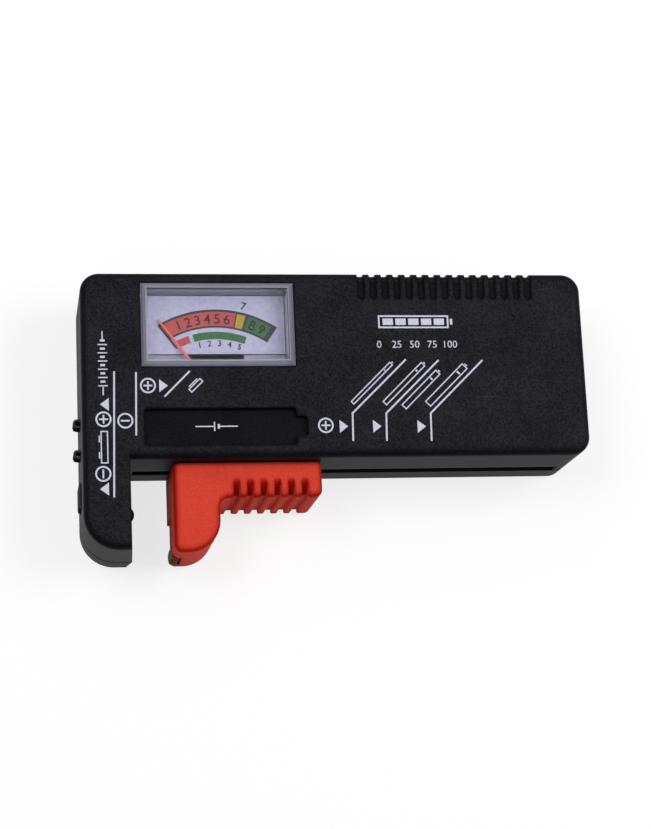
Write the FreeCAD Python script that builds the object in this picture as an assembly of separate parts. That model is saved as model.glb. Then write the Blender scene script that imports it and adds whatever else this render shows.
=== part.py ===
import FreeCAD, Part
import math
import os

# Pocket battery tester: moving-coil meter, fixed jaw and sprung sliding jaw.
# Frame: origin at the middle of the case outline on its flat back, +X along the
# case away from the fixed jaw, +Y towards the grip edge, +Z out of the front.
# All sizes are in millimetres.

# Case
case_length = 110.0
case_width = 60.0
case_depth = 25.0
jaw_width = 9.9
jaw_draft = 1.05
jaw_reach = 19.2
shell_wall = 2.0
parting_height = 7.5
parting_groove_height = 0.5
parting_groove_depth = 0.35
corner_radius = 4.0
jaw_tip_radius = 7.5
front_edge_radius = 2.0
rear_edge_radius = 0.7
lip_height = 1.2
lip_wall = 1.0
inner_corner = 0.3
seat_clearance = 0.1
cut_past = 1.0
end_flat = 0.01

# Grip grooves over the top front edge
grip_count = 15
grip_pitch = 2.66
grip_width = 1.5
grip_depth = 0.5
grip_reach = 6.1
grip_from_end = 12.0

# Slide slot in the lower side
slot_height = 3.5
slot_from_jaw = 0.3
slot_from_end = 4.5

# Label recess in the front
recess_depth = 1.2
recess_floor = 1.6
recess_length = 32.5
recess_width = 8.05
recess_from_end = 13.0
recess_from_side = 2.55
recess_tab_length = 2.35
recess_tab_width = 4.4
recess_corner = 0.6

# Meter cover and scale plate
lens_length = 32.9
lens_from_end = 12.8
lens_from_top = 2.58
lens_from_side = 19.85
lens_proud = 0.8
lens_bevel = 1.05
lens_plate = 1.5
lens_wall = 1.3
lens_flange = 0.4
lens_flange_depth = 1.2
lens_rim = 2.3
pip_radius = 0.5
pip_height = 0.3
pip_from_corner = 2.0
pip_from_wall = 0.4
dial_sink = 6.2
dial_thickness = 0.6
dial_margin = 0.1
dial_from_window = 3.93
dial_ledge_gap = 12.1
dial_ledge_out = 1.6
dial_ledge_under = 1.0

# Meter tray
tray_wall = 1.0
tray_floor = 1.2
tray_rim_below_dial = 2.5
wiring_room = 3.4
dial_post_radius = 1.0
tray_post_radius = 1.2
tray_post_inset = 2.5
tray_post_rise = 2.0
tray_clearance = 0.5

# Meter movement, about an axis below the window
axis_below_window = 5.4
needle_rest = 36.7
core_radius = 3.3
yoke_bore = 5.2
yoke_wall = 1.5
yoke_overlap = 0.4
spacer_width = 2.4
spacer_height = 2.0
former_gap = 0.5
former_wall = 0.3
former_depth = 2.4
former_end_gap = 0.6
winding_thickness = 0.6
winding_depth = 1.8
shaft_radius = 0.4
pivot_cone = 0.6
pivot_tip = 0.05
collet_radius = 0.8
hairspring_turns = 3
hairspring_pitch = 0.8
hairspring_strip = 0.15
hairspring_height = 0.3
hairspring_gap = 0.4
stud_width = 1.0
stud_length = 0.8
running_clearance = 0.05
cup_floor = 0.7
jewel_radius = 1.2
jewel_height = 1.0
jewel_clearance = 0.08
jewel_tip = 0.1
jewel_play = 0.1
jewel_proud = 0.3
jewel_to_spring = 0.4
bridge_width = 4.0
bridge_thickness = 0.9
bridge_post_radius = 1.2
bridge_post_gap = 0.2
needle_to_window = 1.5
needle_root_width = 0.7
needle_tip_width = 0.35
needle_thickness = 0.4
needle_height = 0.5
needle_tail = 4.6
needle_hub_radius = 1.5
needle_hub_height = 1.0
hub_to_bridge = 0.6
balance_radius = 0.8
balance_height = 0.6
terminal_radius = 0.7
terminal_collar = 1.3
terminal_collar_height = 0.8
terminal_spacing = 24.0
terminal_from_edge = 3.2

# Contacts for a nine-volt block, on the left side
strip_thickness = 0.5
negative_strip_height = 6.6
positive_strip_height = 4.0
strip_bend = 0.3
strip_landing = 1.3
strip_edge = 0.2
stud_spacing = 12.7
stud_height = 11.3
negative_from_tip = 13.3
positive_bump_spacing = 6.75
positive_bump_width = 1.9
positive_bump_out = 1.5
negative_bump_width = 5.7
negative_bump_out = 0.6

# Domed contact on the fixed jaw
dome_from_tip = 10.0
dome_height = 9.0
dome_radius = 1.5
dome_rise = 0.72
dome_clearance = 0.1
rivet_radius = 0.8
rivet_tail_radius = 1.3
rivet_tail = 0.5

# Sliding jaw
slider_gap = 9.32
slider_length = 32.0
slider_back = 0.5
slider_depth = 19.7
slider_clearance = 0.25
slider_bar = 7.45
slider_arm_width = 9.9
slider_tip_radius = 6.9
slider_corner_radius = 1.6
slider_root_radius = 2.0
slider_edge_radius = 1.4
slider_groove_count = 6
slider_groove_pitch = 2.94
slider_groove_width = 1.4
slider_groove_depth = 0.85
slider_groove_slope = 45.0
slider_groove_reach = 3.95
slider_tooth_radius = 0.45
slider_floor_radius = 0.3
slider_tooth_sink = 0.02
slider_groove_from_end = 3.85
tongue_inset = 1.5
tongue_clearance = 0.15
flange_thickness = 1.4
flange_clearance = 0.2
flange_below = 2.8
flange_above = 2.7
contact_thickness = 0.4
contact_width = 7.4
contact_from_back = 6.7
contact_proud = 0.15
contact_sink = 0.5
contact_length = 9.0
contact_tip_length = 2.6
contact_jog = 1.0
contact_clearance = 0.2
contact_riser = 2.2
contact_riser_inset = 1.8
contact_hook = 2.4
contact_bend = 0.3
hook_slot_width = 1.5
hook_slot_height = 8.2
hook_slot_depth = 3.0
wiper_length = 6.5
wiper_gap = 0.15
wiper_rise = 0.35

# Contact rail and its guide rib
rail_thickness = 0.5
rail_height = 3.0
rail_from_jaw = 3.0
rail_past_slot = 1.0
rib_thickness = 0.9

# Return spring
spring_turns = 18
spring_radius = 1.1
spring_wire = 0.4
spring_above_flange = 1.7
spring_lead = 0.4
anchor_thickness = 1.5
anchor_from_jaw = 2.1
hook_post_thickness = 1.6

# Fasteners
screw_radius = 1.25
screw_length = 12.0
screw_tip_length = 1.2
screw_tip_radius = 0.4
screw_head_radius = 2.3
screw_head_height = 1.6
screw_head_chamfer = 0.5
screw_head_clearance = 0.3
screw_hole_clearance = 0.15
screw_recess = 0.8
screw_clearance = 0.05
screw_cross = 1.5
screw_slot_width = 0.7
screw_slot_depth = 0.7
screw_from_left = 5.2
screw_top_from_left = 6.2
screw_from_tip = 6.0
screw_from_top = 6.8
screw_from_right = 6.5
screw_right_drop = 20.0
boss_wall = 1.2

# Resistors and hook-up wires
resistor_radius = 1.15
resistor_length = 6.4
resistor_cap = 1.28
resistor_waist = 0.15
resistor_chamfer = 0.2
resistor_shoulder = 0.3
lead_radius = 0.3
lead_bend = 0.8
wire_radius = 0.55
wire_bend = 1.5
joint_gap = 0.05
load_drop = 3.4
dropper_from_window = 13.15
positive_wire_inset = 2.5
negative_wire_inset = 1.4
rail_wire_reach = 6.0

# Places that follow from the sizes above
left = -case_length / 2
right = case_length / 2
bottom = -case_width / 2
top = case_width / 2
jaw_face = left + jaw_width
jaw_edge = jaw_face + jaw_draft
side = bottom + jaw_reach
inner_left = left + shell_wall
inner_side = side + shell_wall
face_inner = case_depth - shell_wall

lens_left = left + lens_from_end
lens_right = lens_left + lens_length
lens_high = top - lens_from_top
lens_low = side + lens_from_side
lens_top = case_depth + lens_proud
lens_under = lens_top - lens_plate
dial_face = lens_top - dial_sink
dial_back = dial_face - dial_thickness
dial_left = lens_left + lens_wall + dial_margin
dial_right = lens_right - lens_wall - dial_margin
dial_low = lens_low + dial_from_window
dial_high = lens_high - lens_wall - dial_margin

axis_x = (lens_left + lens_right) / 2
axis_y = lens_low - axis_below_window
yoke_radius = yoke_bore + yoke_wall
tray_low = axis_y - yoke_radius - tray_clearance - tray_wall
tray_back = shell_wall + wiring_room
tray_top = tray_back + tray_floor
tray_rim = dial_back - tray_rim_below_dial

movement_mid = (tray_top + dial_back) / 2
winding_to_jewel = hairspring_gap + hairspring_height + jewel_to_spring
coil_end = former_end_gap + former_wall + winding_thickness
core_height = dial_back - tray_top - 2 * (jewel_height + winding_to_jewel + coil_end)
yoke_height = core_height + 2 * yoke_overlap
former_half = core_radius + former_gap
former_high = movement_mid + core_height / 2 + former_end_gap
former_low = movement_mid - core_height / 2 - former_end_gap
winding_high = former_high + former_wall + winding_thickness
winding_low = former_low - former_wall - winding_thickness
needle_high = lens_high - lens_wall - needle_to_window - axis_y
needle_wide = (lens_length / 2 - lens_wall - needle_to_window) / math.sin(math.radians(needle_rest))
needle_length = min(needle_high, needle_wide)
needle_low = dial_face + needle_height
hub_high = needle_low + needle_hub_height
bridge_low = hub_high + hub_to_bridge
cup_high = movement_mid - yoke_height / 2
lower_jewel_high = tray_top + jewel_height
upper_jewel_low = hub_high + jewel_play
upper_spring_low = winding_high + hairspring_gap
lower_spring_low = winding_low - hairspring_gap - hairspring_height
hairspring_bore = collet_radius + running_clearance
hairspring_radius = hairspring_bore + hairspring_turns * hairspring_pitch + hairspring_strip

negative_y = bottom + negative_from_tip
positive_y = negative_y + stud_spacing
negative_strip_low = dome_height - rivet_radius - strip_edge
negative_strip_high = stud_height + negative_strip_height / 2
positive_strip_low = stud_height - positive_strip_height / 2
positive_strip_high = stud_height + positive_strip_height / 2
dome_y = bottom + dome_from_tip
dome_seat = jaw_face + jaw_draft * (case_depth - dome_height - dome_radius) / (case_depth - parting_height)

slider_left = jaw_face + slider_gap
slider_right = slider_left + slider_length
slider_front = slider_back + slider_depth
slider_high = side - slider_clearance
grip_line = slider_high - slider_bar
tongue_low = parting_height + tongue_clearance
tongue_high = parting_height + slot_height - tongue_clearance
tongue_left = slider_left + tongue_inset
tongue_right = slider_right - tongue_inset
tongue_mid = (tongue_low + tongue_high) / 2
contact_mid = slider_back + contact_from_back
flange_low_y = inner_side + flange_clearance
flange_high_y = flange_low_y + flange_thickness
flange_low = tongue_low - flange_below
flange_high = tongue_high + flange_above
wiper_y = flange_high_y + wiper_rise
rail_y = wiper_y + contact_thickness + wiper_gap
rib_y = rail_y + rail_thickness
slot_left = jaw_edge + slot_from_jaw
slot_right = right - slot_from_end
anchor_x = jaw_face + anchor_from_jaw
hook_x = tongue_right - hook_post_thickness
spring_y = (inner_side + rib_y) / 2
spring_z = flange_high + spring_above_flange + spring_radius
boss_radius = screw_radius + boss_wall
head_radius = screw_head_radius + screw_head_clearance
seat_radius = head_radius + boss_wall
screw_seat = screw_recess + screw_head_height

terminal_y = tray_low + terminal_from_edge
terminal_left = axis_x - terminal_spacing / 2
terminal_right = axis_x + terminal_spacing / 2
wiring_z = shell_wall + wiring_room / 2
dropper_y = lens_high - dropper_from_window

screw_places = [
    (left + screw_from_left, bottom + screw_from_tip),
    (left + screw_top_from_left, top - screw_from_top),
    (right - screw_from_right, top - screw_right_drop),
]


def vec(x, y, z=0.0):
    """A point or direction."""
    return FreeCAD.Vector(x, y, z)


def box(x0, x1, y0, y1, z0, z1):
    """A box between two opposite corners."""
    return Part.makeBox(x1 - x0, y1 - y0, z1 - z0, vec(x0, y0, z0))


def rod(x, y, z0, z1, radius):
    """A round bar along Z."""
    return Part.makeCylinder(radius, z1 - z0, vec(x, y, z0))


def outline(corners):
    """A closed wire through (x, y, radius) corners, rounded where radius is set."""
    spans = []
    count = len(corners)
    for i, (x, y, radius) in enumerate(corners):
        here = vec(x, y)
        if radius <= 0:
            spans.append((here, None, here))
            continue
        before = (vec(*corners[i - 1][:2]) - here).normalize()
        after = (vec(*corners[(i + 1) % count][:2]) - here).normalize()
        half = before.getAngle(after) / 2
        cut = radius / math.tan(half)
        bisector = (before + after).normalize()
        middle = here + bisector * (radius / math.sin(half) - radius)
        spans.append((here + before * cut, middle, here + after * cut))
    edges = []
    for i, (start, middle, end) in enumerate(spans):
        if middle is not None:
            edges.append(Part.Arc(start, middle, end).toShape())
        following = spans[(i + 1) % count][0]
        if end.distanceToPoint(following) > 1e-6:
            edges.append(Part.makeLine(end, following))
    return Part.Wire(edges)


def prism(corners, z0, z1):
    """A rounded outline extruded along Z."""
    face = Part.Face(outline(corners))
    face.translate(vec(0, 0, z0))
    return face.extrude(vec(0, 0, z1 - z0))


def ribbon(path, thickness, bend, z0, z1):
    """Sheet metal bent along a path of (x, y) points, thick to the path's left."""
    points = [vec(*p) for p in path]
    steps = [(b - a).normalize() for a, b in zip(points, points[1:])]
    normals = [vec(-s.y, s.x) for s in steps]
    near = [(points[0].x, points[0].y, 0)]
    first = points[0] + normals[0] * thickness
    far = [(first.x, first.y, 0)]
    for i in range(1, len(points) - 1):
        shift = (normals[i - 1] + normals[i]) / (1 + normals[i - 1].dot(normals[i]))
        moved = points[i] + shift * thickness
        turns_left = steps[i - 1].cross(steps[i]).z > 0
        near.append((points[i].x, points[i].y, bend + thickness if turns_left else bend))
        far.append((moved.x, moved.y, bend if turns_left else bend + thickness))
    near.append((points[-1].x, points[-1].y, 0))
    last = points[-1] + normals[-1] * thickness
    far.append((last.x, last.y, 0))
    return prism(near + far[::-1], z0, z1)


def tube(points, radius, bend):
    """A round wire along straight runs with rounded corners."""
    places = [vec(*p) for p in points]
    edges = []
    start = places[0]
    for before, here, after in zip(places, places[1:], places[2:]):
        back = (before - here).normalize()
        ahead = (after - here).normalize()
        half = back.getAngle(ahead) / 2
        cut = bend / math.tan(half)
        middle = here + (back + ahead).normalize() * (bend / math.sin(half) - bend)
        edges.append(Part.makeLine(start, here + back * cut))
        edges.append(Part.Arc(here + back * cut, middle, here + ahead * cut).toShape())
        start = here + ahead * cut
    edges.append(Part.makeLine(start, places[-1]))
    ring = Part.makeCircle(radius, places[0], places[1] - places[0])
    return Part.Wire(edges).makePipeShell([Part.Wire(ring)], True, False)


def turned(profile, x, y):
    """A solid of revolution about the Z line at (x, y), from (radius, z) points."""
    points = [vec(r, 0, z) for r, z in profile]
    face = Part.Face(Part.makePolygon(points + points[:1]))
    solid = face.revolve(vec(0, 0), vec(0, 0, 1), 360)
    solid.translate(vec(x, y))
    return solid


def edges_at_height(shape, z):
    """The edges of a shape that lie wholly at one height."""
    return [e for e in shape.Edges
            if abs(e.BoundBox.ZMin - z) < 1e-6 and abs(e.BoundBox.ZMax - z) < 1e-6]


def at_rest(shape):
    """Turn a piece of the moving coil from mid-scale to the needle's rest."""
    shape.rotate(vec(axis_x, axis_y), vec(0, 0, 1), needle_rest)
    return shape


def case_block(z0, z1, edge_z, edge_radius):
    """The case outline between two heights, rounded along one outer edge."""
    body = prism([(left, side, corner_radius), (right, side, corner_radius),
                  (right, top, corner_radius), (left, top, corner_radius)], z0, z1)
    body = body.makeFillet(edge_radius, edges_at_height(body, edge_z))
    root = side + corner_radius + jaw_width
    jaw = prism([(left, bottom, jaw_tip_radius), (jaw_edge, bottom, 0),
                 (jaw_edge, root, 0), (left, root, 0)], z0, z1)
    rim = [e for e in edges_at_height(jaw, edge_z)
           if e.BoundBox.XMin < jaw_edge - 1e-6 and e.BoundBox.YMin < root - 1e-6]
    jaw = jaw.makeFillet(edge_radius, rim).cut(jaw_relief(edge_z))
    return body.fuse(jaw).removeSplitter()


def jaw_relief(edge_z):
    """Cutter that drafts the jaw's inner face, from the parting to one outer edge."""
    lean = jaw_draft / (edge_z - parting_height)
    past = math.copysign(cut_past, edge_z - parting_height)
    far = jaw_edge + cut_past
    wedge = prism([(jaw_edge, parting_height, 0), (far, parting_height, 0), (far, edge_z + past, 0),
                   (jaw_face - lean * past, edge_z + past, 0)], 0, case_width + cut_past)
    wedge.rotate(vec(0, 0), vec(1, 0, 0), 90)
    wedge.translate(vec(0, top, 0))
    return wedge


def parting_groove():
    """Cutter for the shadow line around the joint of the shells."""
    half = parting_groove_height / 2
    d = parting_groove_depth
    band = box(left - cut_past, right + cut_past, bottom - cut_past, top + cut_past,
               parting_height - half, parting_height + half)
    core = prism([(left + d, bottom + d, jaw_tip_radius - d), (jaw_edge - d, bottom + d, 0),
                  (jaw_edge - d, side + d, 0), (right - d, side + d, corner_radius - d),
                  (right - d, top - d, corner_radius - d), (left + d, top - d, corner_radius - d)],
                 0, case_depth)
    return band.cut(core)


def case_room(inset, z0, z1):
    """The space inside the case outline, inset from it by one distance."""
    body_radius = max(corner_radius - inset, inner_corner)
    tip_radius = max(jaw_tip_radius - inset, inner_corner)
    return prism([(left + inset, bottom + inset, tip_radius),
                  (jaw_face - inset, bottom + inset, inner_corner),
                  (jaw_face - inset, side + inset, 0),
                  (right - inset, side + inset, body_radius),
                  (right - inset, top - inset, body_radius),
                  (left + inset, top - inset, body_radius)], z0, z1)


def edge_core(x0, x1, y_edge, y_far, z_edge, z_far, radius):
    """What a groove leaves: a bar along X, rounded along its front edge."""
    points = [(z_far, y_far, 0), (z_edge, y_far, 0), (z_edge, y_edge, radius), (z_far, y_edge, 0)]
    bar = prism(points, 0, x1 - x0)
    bar.rotate(vec(0, 0), vec(0, 1, 0), -90)
    bar.translate(vec(x1, 0, 0))
    return bar


def grip_grooves():
    """Cutters for the grip grooves, which follow the rounded edge."""
    low = top - grip_reach
    core = edge_core(left, right, top - grip_depth, low - cut_past, case_depth - grip_depth,
                     parting_height - cut_past, front_edge_radius - grip_depth)
    cutters = []
    for i in range(grip_count):
        x = right - grip_from_end - i * grip_pitch
        half = grip_width / 2
        cutter = prism([(x - half, low, half - end_flat), (x + half, low, half - end_flat),
                        (x + half, top + cut_past, 0), (x - half, top + cut_past, 0)],
                       parting_height - cut_past, case_depth + cut_past)
        cutters.append(cutter.cut(core))
    return cutters


def recess_outline(grow):
    """The label recess with its tab, grown on every side."""
    x0 = left + recess_from_end - grow
    x1 = left + recess_from_end + recess_length + grow
    y0 = side + recess_from_side - grow
    y1 = side + recess_from_side + recess_width + grow
    middle = (y0 + y1) / 2
    half = recess_tab_width / 2 + grow
    tab = x1 + recess_tab_length
    r = recess_corner
    return [(x0, y0, r), (x1, y0, r), (x1, middle - half, 0), (tab, middle - half, r),
            (tab, middle + half, r), (x1, middle + half, 0), (x1, y1, r), (x0, y1, r)]


def contact_bumps():
    """The bumps on the left side as (middle, width, reach, low, high)."""
    spread = positive_bump_spacing / 2
    heights = (positive_strip_low, positive_strip_high)
    return [(negative_y, negative_bump_width, negative_bump_out, negative_strip_low, negative_strip_high),
            (positive_y - spread, positive_bump_width, positive_bump_out, *heights),
            (positive_y + spread, positive_bump_width, positive_bump_out, *heights)]


def front_shell():
    """Case front with jaw, window, recess, grooves, slot and contact openings."""
    shell = case_block(parting_height, case_depth, case_depth, front_edge_radius)
    shell = shell.cut(case_room(shell_wall, parting_height - cut_past, face_inner))
    pad_low = case_depth - recess_depth - recess_floor
    inside = [prism(recess_outline(recess_floor), pad_low, face_inner)]
    inside.append(box(anchor_x, slot_right + rail_past_slot, rib_y, rib_y + rib_thickness,
                      parting_height, face_inner))
    inside.append(box(anchor_x, anchor_x + anchor_thickness, side + shell_wall / 2,
                      rib_y + rib_thickness,
                      spring_z - spring_radius - spring_wire, face_inner))
    inside += [rod(x, y, parting_height, face_inner, boss_radius) for x, y in screw_places]
    shell = shell.fuse(inside)
    gap = seat_clearance
    cuts = [prism(recess_outline(0), case_depth - recess_depth, case_depth + cut_past)]
    cuts.append(box(lens_left - gap, lens_right + gap, lens_low - gap, lens_high + gap,
                    face_inner - cut_past, case_depth + cut_past))
    cuts.append(box(slot_left, slot_right, side - cut_past, inner_side + gap,
                    parting_height - cut_past, parting_height + slot_height))
    for middle, width, _, low, high in contact_bumps():
        half = width / 2 + strip_bend
        cuts.append(box(left - cut_past, inner_left + gap, middle - half, middle + half,
                        low - gap, high + gap))
    cuts.append(Part.makeCylinder(rivet_radius, shell_wall + jaw_draft + 2 * cut_past,
                                  vec(jaw_face - shell_wall - cut_past, dome_y, dome_height), vec(1, 0)))
    cuts.append(Part.makeCylinder(dome_radius + dome_clearance, jaw_draft + cut_past,
                                  vec(dome_seat, dome_y, dome_height), vec(1, 0)))
    cuts.append(parting_groove())
    pilot = screw_radius + screw_clearance
    cuts += [rod(x, y, parting_height - cut_past, screw_seat + screw_length + cut_past, pilot)
             for x, y in screw_places]
    cuts += grip_grooves()
    return shell.cut(cuts).removeSplitter()


def rear_shell():
    """Case back with screw seats, posts under the meter and a locating lip."""
    shell = case_block(0, parting_height, 0, rear_edge_radius)
    shell = shell.cut(case_room(shell_wall, shell_wall, parting_height + cut_past))
    outer = case_room(shell_wall + seat_clearance, parting_height - shell_wall, parting_height + lip_height)
    lip = outer.cut(case_room(shell_wall + seat_clearance + lip_wall, 0, case_depth))
    foot = case_room(shell_wall / 2, parting_height - shell_wall, parting_height)
    foot = foot.cut(case_room(shell_wall + seat_clearance + lip_wall, 0, case_depth))
    reach = box(lens_right + lens_wall, right, axis_y, top, 0, case_depth)
    room = case_room(shell_wall / 2, 0, parting_height)
    inside = [lip.common(reach), foot.common(reach)]
    inside += [rod(x, y, 0, parting_height, seat_radius).common(room) for x, y in screw_places]
    d = tray_post_inset
    for x, y in [(lens_left + d, lens_high - d), (lens_right - d, lens_high - d),
                 (axis_x, terminal_y + tray_post_rise)]:
        inside.append(rod(x, y, shell_wall / 2, tray_back, tray_post_radius))
    shell = shell.fuse(inside)
    cuts = [parting_groove()]
    for x, y in screw_places:
        cuts.append(rod(x, y, -cut_past, screw_seat, head_radius))
        cuts.append(rod(x, y, -cut_past, parting_height + cut_past,
                        screw_radius + screw_hole_clearance))
    return shell.cut(cuts).removeSplitter()


def case_screws():
    """Three cross-head screws, threads left plain."""
    screws = []
    for x, y in screw_places:
        tip = screw_seat + screw_length
        screw = turned([(0, screw_recess), (screw_head_radius - screw_head_chamfer, screw_recess),
                        (screw_head_radius, screw_recess + screw_head_chamfer),
                        (screw_head_radius, screw_seat), (screw_radius, screw_seat),
                        (screw_radius, tip - screw_tip_length), (screw_tip_radius, tip), (0, tip)],
                       x, y)
        half = screw_slot_width / 2
        floor = screw_recess + screw_slot_depth
        cross = [box(x - screw_cross, x + screw_cross, y - half, y + half, 0, floor),
                 box(x - half, x + half, y - screw_cross, y + screw_cross, 0, floor)]
        screws.append(screw.cut(cross))
    return Part.makeCompound(screws)


def meter_lens():
    """Clear cover: bevelled plate, rim, flange behind the case face and skirt."""
    foot = outline([(lens_left, lens_low, 0), (lens_right, lens_low, 0),
                    (lens_right, lens_high, 0), (lens_left, lens_high, 0)])
    foot.translate(vec(0, 0, case_depth))
    b = lens_bevel
    crown = outline([(lens_left + b, lens_low + b, 0), (lens_right - b, lens_low + b, 0),
                     (lens_right - b, lens_high - b, 0), (lens_left + b, lens_high - b, 0)])
    crown.translate(vec(0, 0, lens_top))
    lens = Part.makeLoft([foot, crown], True, True)
    lens = lens.fuse(box(lens_left, lens_right, lens_low, lens_high, tray_rim, case_depth))
    f = lens_flange
    lens = lens.fuse(box(lens_left - f, lens_right + f, lens_low - f, lens_high + f,
                         face_inner - lens_flange_depth, face_inner))
    w = lens_wall
    lens = lens.cut(box(lens_left + w, lens_right - w, lens_low + w, lens_high - w,
                        tray_rim - cut_past, lens_under))
    lens = lens.cut(box(lens_left + w, lens_right - w, lens_low - cut_past, lens_high - 2 * w,
                        tray_rim - cut_past, lens_under - lens_rim))
    inset = w + pip_from_corner
    pip_y = lens_high - w - pip_from_wall - pip_radius
    pips = [rod(x, pip_y, lens_under - pip_height, lens_under, pip_radius)
            for x in (lens_left + inset, lens_right - inset)]
    return lens.fuse(pips).removeSplitter()


def dial_posts():
    """Where the upper edge of the scale plate rests on the tray."""
    inset = 2 * dial_post_radius
    return [(x, dial_high - inset) for x in (dial_left + inset, dial_right - inset)]


def meter_case():
    """Open tray that carries the movement, with posts and ledges for the scale plate."""
    tray = box(lens_left, lens_right, tray_low, lens_high, tray_back, tray_rim)
    w = tray_wall
    tray = tray.cut(box(lens_left + w, lens_right - w, tray_low + w, lens_high - w,
                        tray_top, tray_rim + cut_past))
    posts = [rod(x, y, tray_back, dial_back, dial_post_radius) for x, y in dial_posts()]
    half = dial_ledge_gap / 2
    ledges = [box(x0, x1, dial_low - dial_ledge_out, dial_low + dial_ledge_under, tray_back, dial_back)
              for x0, x1 in ((dial_left, axis_x - half), (axis_x + half, dial_right))]
    tray = tray.fuse(posts + ledges)
    holes = [rod(x, terminal_y, 0, tray_top + cut_past, terminal_radius)
             for x in (terminal_left, terminal_right)]
    return tray.cut(holes).removeSplitter()


def dial_plate():
    """Flat scale plate under the window."""
    return box(dial_left, dial_right, dial_low, dial_high, dial_back, dial_face)


def spring_stud(z0, z1):
    """The stud that holds the outer end of a hairspring."""
    x = axis_x - hairspring_radius
    return box(x - stud_length, x, axis_y - stud_width / 2, axis_y + stud_width / 2, z0, z1)


def movement_cup():
    """Base of the movement, with the stud of the lower hairspring."""
    cup = rod(axis_x, axis_y, tray_top, cup_high, yoke_radius)
    cup = cup.cut(rod(axis_x, axis_y, tray_top + cup_floor, cup_high + cut_past, yoke_bore))
    cup = cup.cut(rod(axis_x, axis_y, tray_top - cut_past, cup_high, jewel_radius))
    return cup.fuse(spring_stud(tray_top, lower_spring_low + hairspring_height)).removeSplitter()


def yoke_ring():
    """Soft iron ring around the magnet."""
    low = movement_mid - yoke_height / 2
    ring = rod(axis_x, axis_y, low, low + yoke_height, yoke_radius)
    return ring.cut(rod(axis_x, axis_y, low - cut_past, low + yoke_height + cut_past, yoke_bore))


def core_magnet():
    """Round magnet inside the coil."""
    half = core_height / 2
    return rod(axis_x, axis_y, movement_mid - half, movement_mid + half, core_radius)


def core_spacers():
    """Two spacers that hold the magnet in the ring, clear of the coil's swing."""
    half = spacer_height / 2
    low = movement_mid - half
    bore = rod(axis_x, axis_y, low, low + spacer_height, yoke_bore)
    core = rod(axis_x, axis_y, low - cut_past, low + spacer_height + cut_past, core_radius)
    spacers = []
    for sign in (-1, 1):
        ends = sorted([axis_y, axis_y + sign * (yoke_bore + cut_past)])
        bar = box(axis_x - spacer_width / 2, axis_x + spacer_width / 2, ends[0], ends[1],
                  low, low + spacer_height)
        spacers.append(bar.common(bore).cut(core))
    return Part.makeCompound([s.Solids[0] for s in spacers])


def upper_bridge():
    """Bar on two posts over the movement, with the stud of the upper hairspring."""
    reach = yoke_radius + bridge_post_gap + bridge_post_radius
    end = reach + bridge_post_radius
    half = bridge_width / 2
    r = half - end_flat
    bar = prism([(axis_x - end, axis_y - half, r), (axis_x + end, axis_y - half, r),
                 (axis_x + end, axis_y + half, r), (axis_x - end, axis_y + half, r)],
                bridge_low, bridge_low + bridge_thickness)
    posts = [rod(axis_x + sign * reach, axis_y, tray_top, bridge_low, bridge_post_radius)
             for sign in (-1, 1)]
    bridge = bar.fuse(posts + [spring_stud(upper_spring_low, bridge_low)])
    hole = rod(axis_x, axis_y, bridge_low - cut_past, bridge_low + bridge_thickness + cut_past, jewel_radius)
    return bridge.cut(hole).removeSplitter()


def jewel_screws():
    """Lower and upper bearing screws, each with a cone for a pivot."""
    mouth = shaft_radius + jewel_clearance
    depth = pivot_cone
    lower = turned([(0, tray_top), (jewel_radius, tray_top), (jewel_radius, lower_jewel_high),
                    (mouth, lower_jewel_high), (jewel_tip, lower_jewel_high - depth),
                    (0, lower_jewel_high - depth)], axis_x, axis_y)
    high = bridge_low + bridge_thickness + jewel_proud
    upper = turned([(0, high), (jewel_radius, high), (jewel_radius, upper_jewel_low),
                    (mouth, upper_jewel_low), (jewel_tip, upper_jewel_low + depth),
                    (0, upper_jewel_low + depth)], axis_x, axis_y)
    return Part.makeCompound([lower, upper])


def pivot_shafts():
    """Lower and upper half-shafts with pivots and hairspring collets."""
    tip = pivot_cone - jewel_clearance
    root = lower_jewel_high
    collet = lower_spring_low
    lower = turned([(0, root - tip), (pivot_tip, root - tip), (shaft_radius, root),
                    (shaft_radius, collet), (collet_radius, collet),
                    (collet_radius, collet + hairspring_height),
                    (shaft_radius, collet + hairspring_height), (shaft_radius, winding_low),
                    (0, winding_low)], axis_x, axis_y)
    root = upper_jewel_low
    collet = upper_spring_low
    upper = turned([(0, root + tip), (pivot_tip, root + tip), (shaft_radius, root),
                    (shaft_radius, collet + hairspring_height),
                    (collet_radius, collet + hairspring_height), (collet_radius, collet),
                    (shaft_radius, collet), (shaft_radius, winding_high), (0, winding_high)],
                   axis_x, axis_y)
    return Part.makeCompound([lower, upper])


def hairspring(low):
    """Flat spiral strip from the collet out to its stud, in half-turn arcs."""
    half = hairspring_strip / 2
    edges = []
    starts = []
    ends = []
    for offset in (-half, half):
        for i in range(2 * hairspring_turns):
            centre = axis_x - (hairspring_pitch / 2 if i % 2 else 0)
            radius = hairspring_bore + half + i * hairspring_pitch / 2 + offset
            upward = -1 if i % 2 else 1
            start = vec(centre - upward * radius, axis_y)
            end = vec(centre + upward * radius, axis_y)
            crest = vec(centre, axis_y + upward * radius)
            edges.append(Part.Arc(start, crest, end).toShape())
            if i == 0:
                starts.append(start)
        ends.append(end + vec(0, stud_width / 2))
        edges.append(Part.makeLine(end, ends[-1]))
    edges.append(Part.makeLine(*starts))
    edges.append(Part.makeLine(*ends))
    strip = Part.Face(Part.Wire(Part.__sortEdges__(edges)))
    strip.translate(vec(0, 0, low))
    return strip.extrude(vec(0, 0, hairspring_height))


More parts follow.
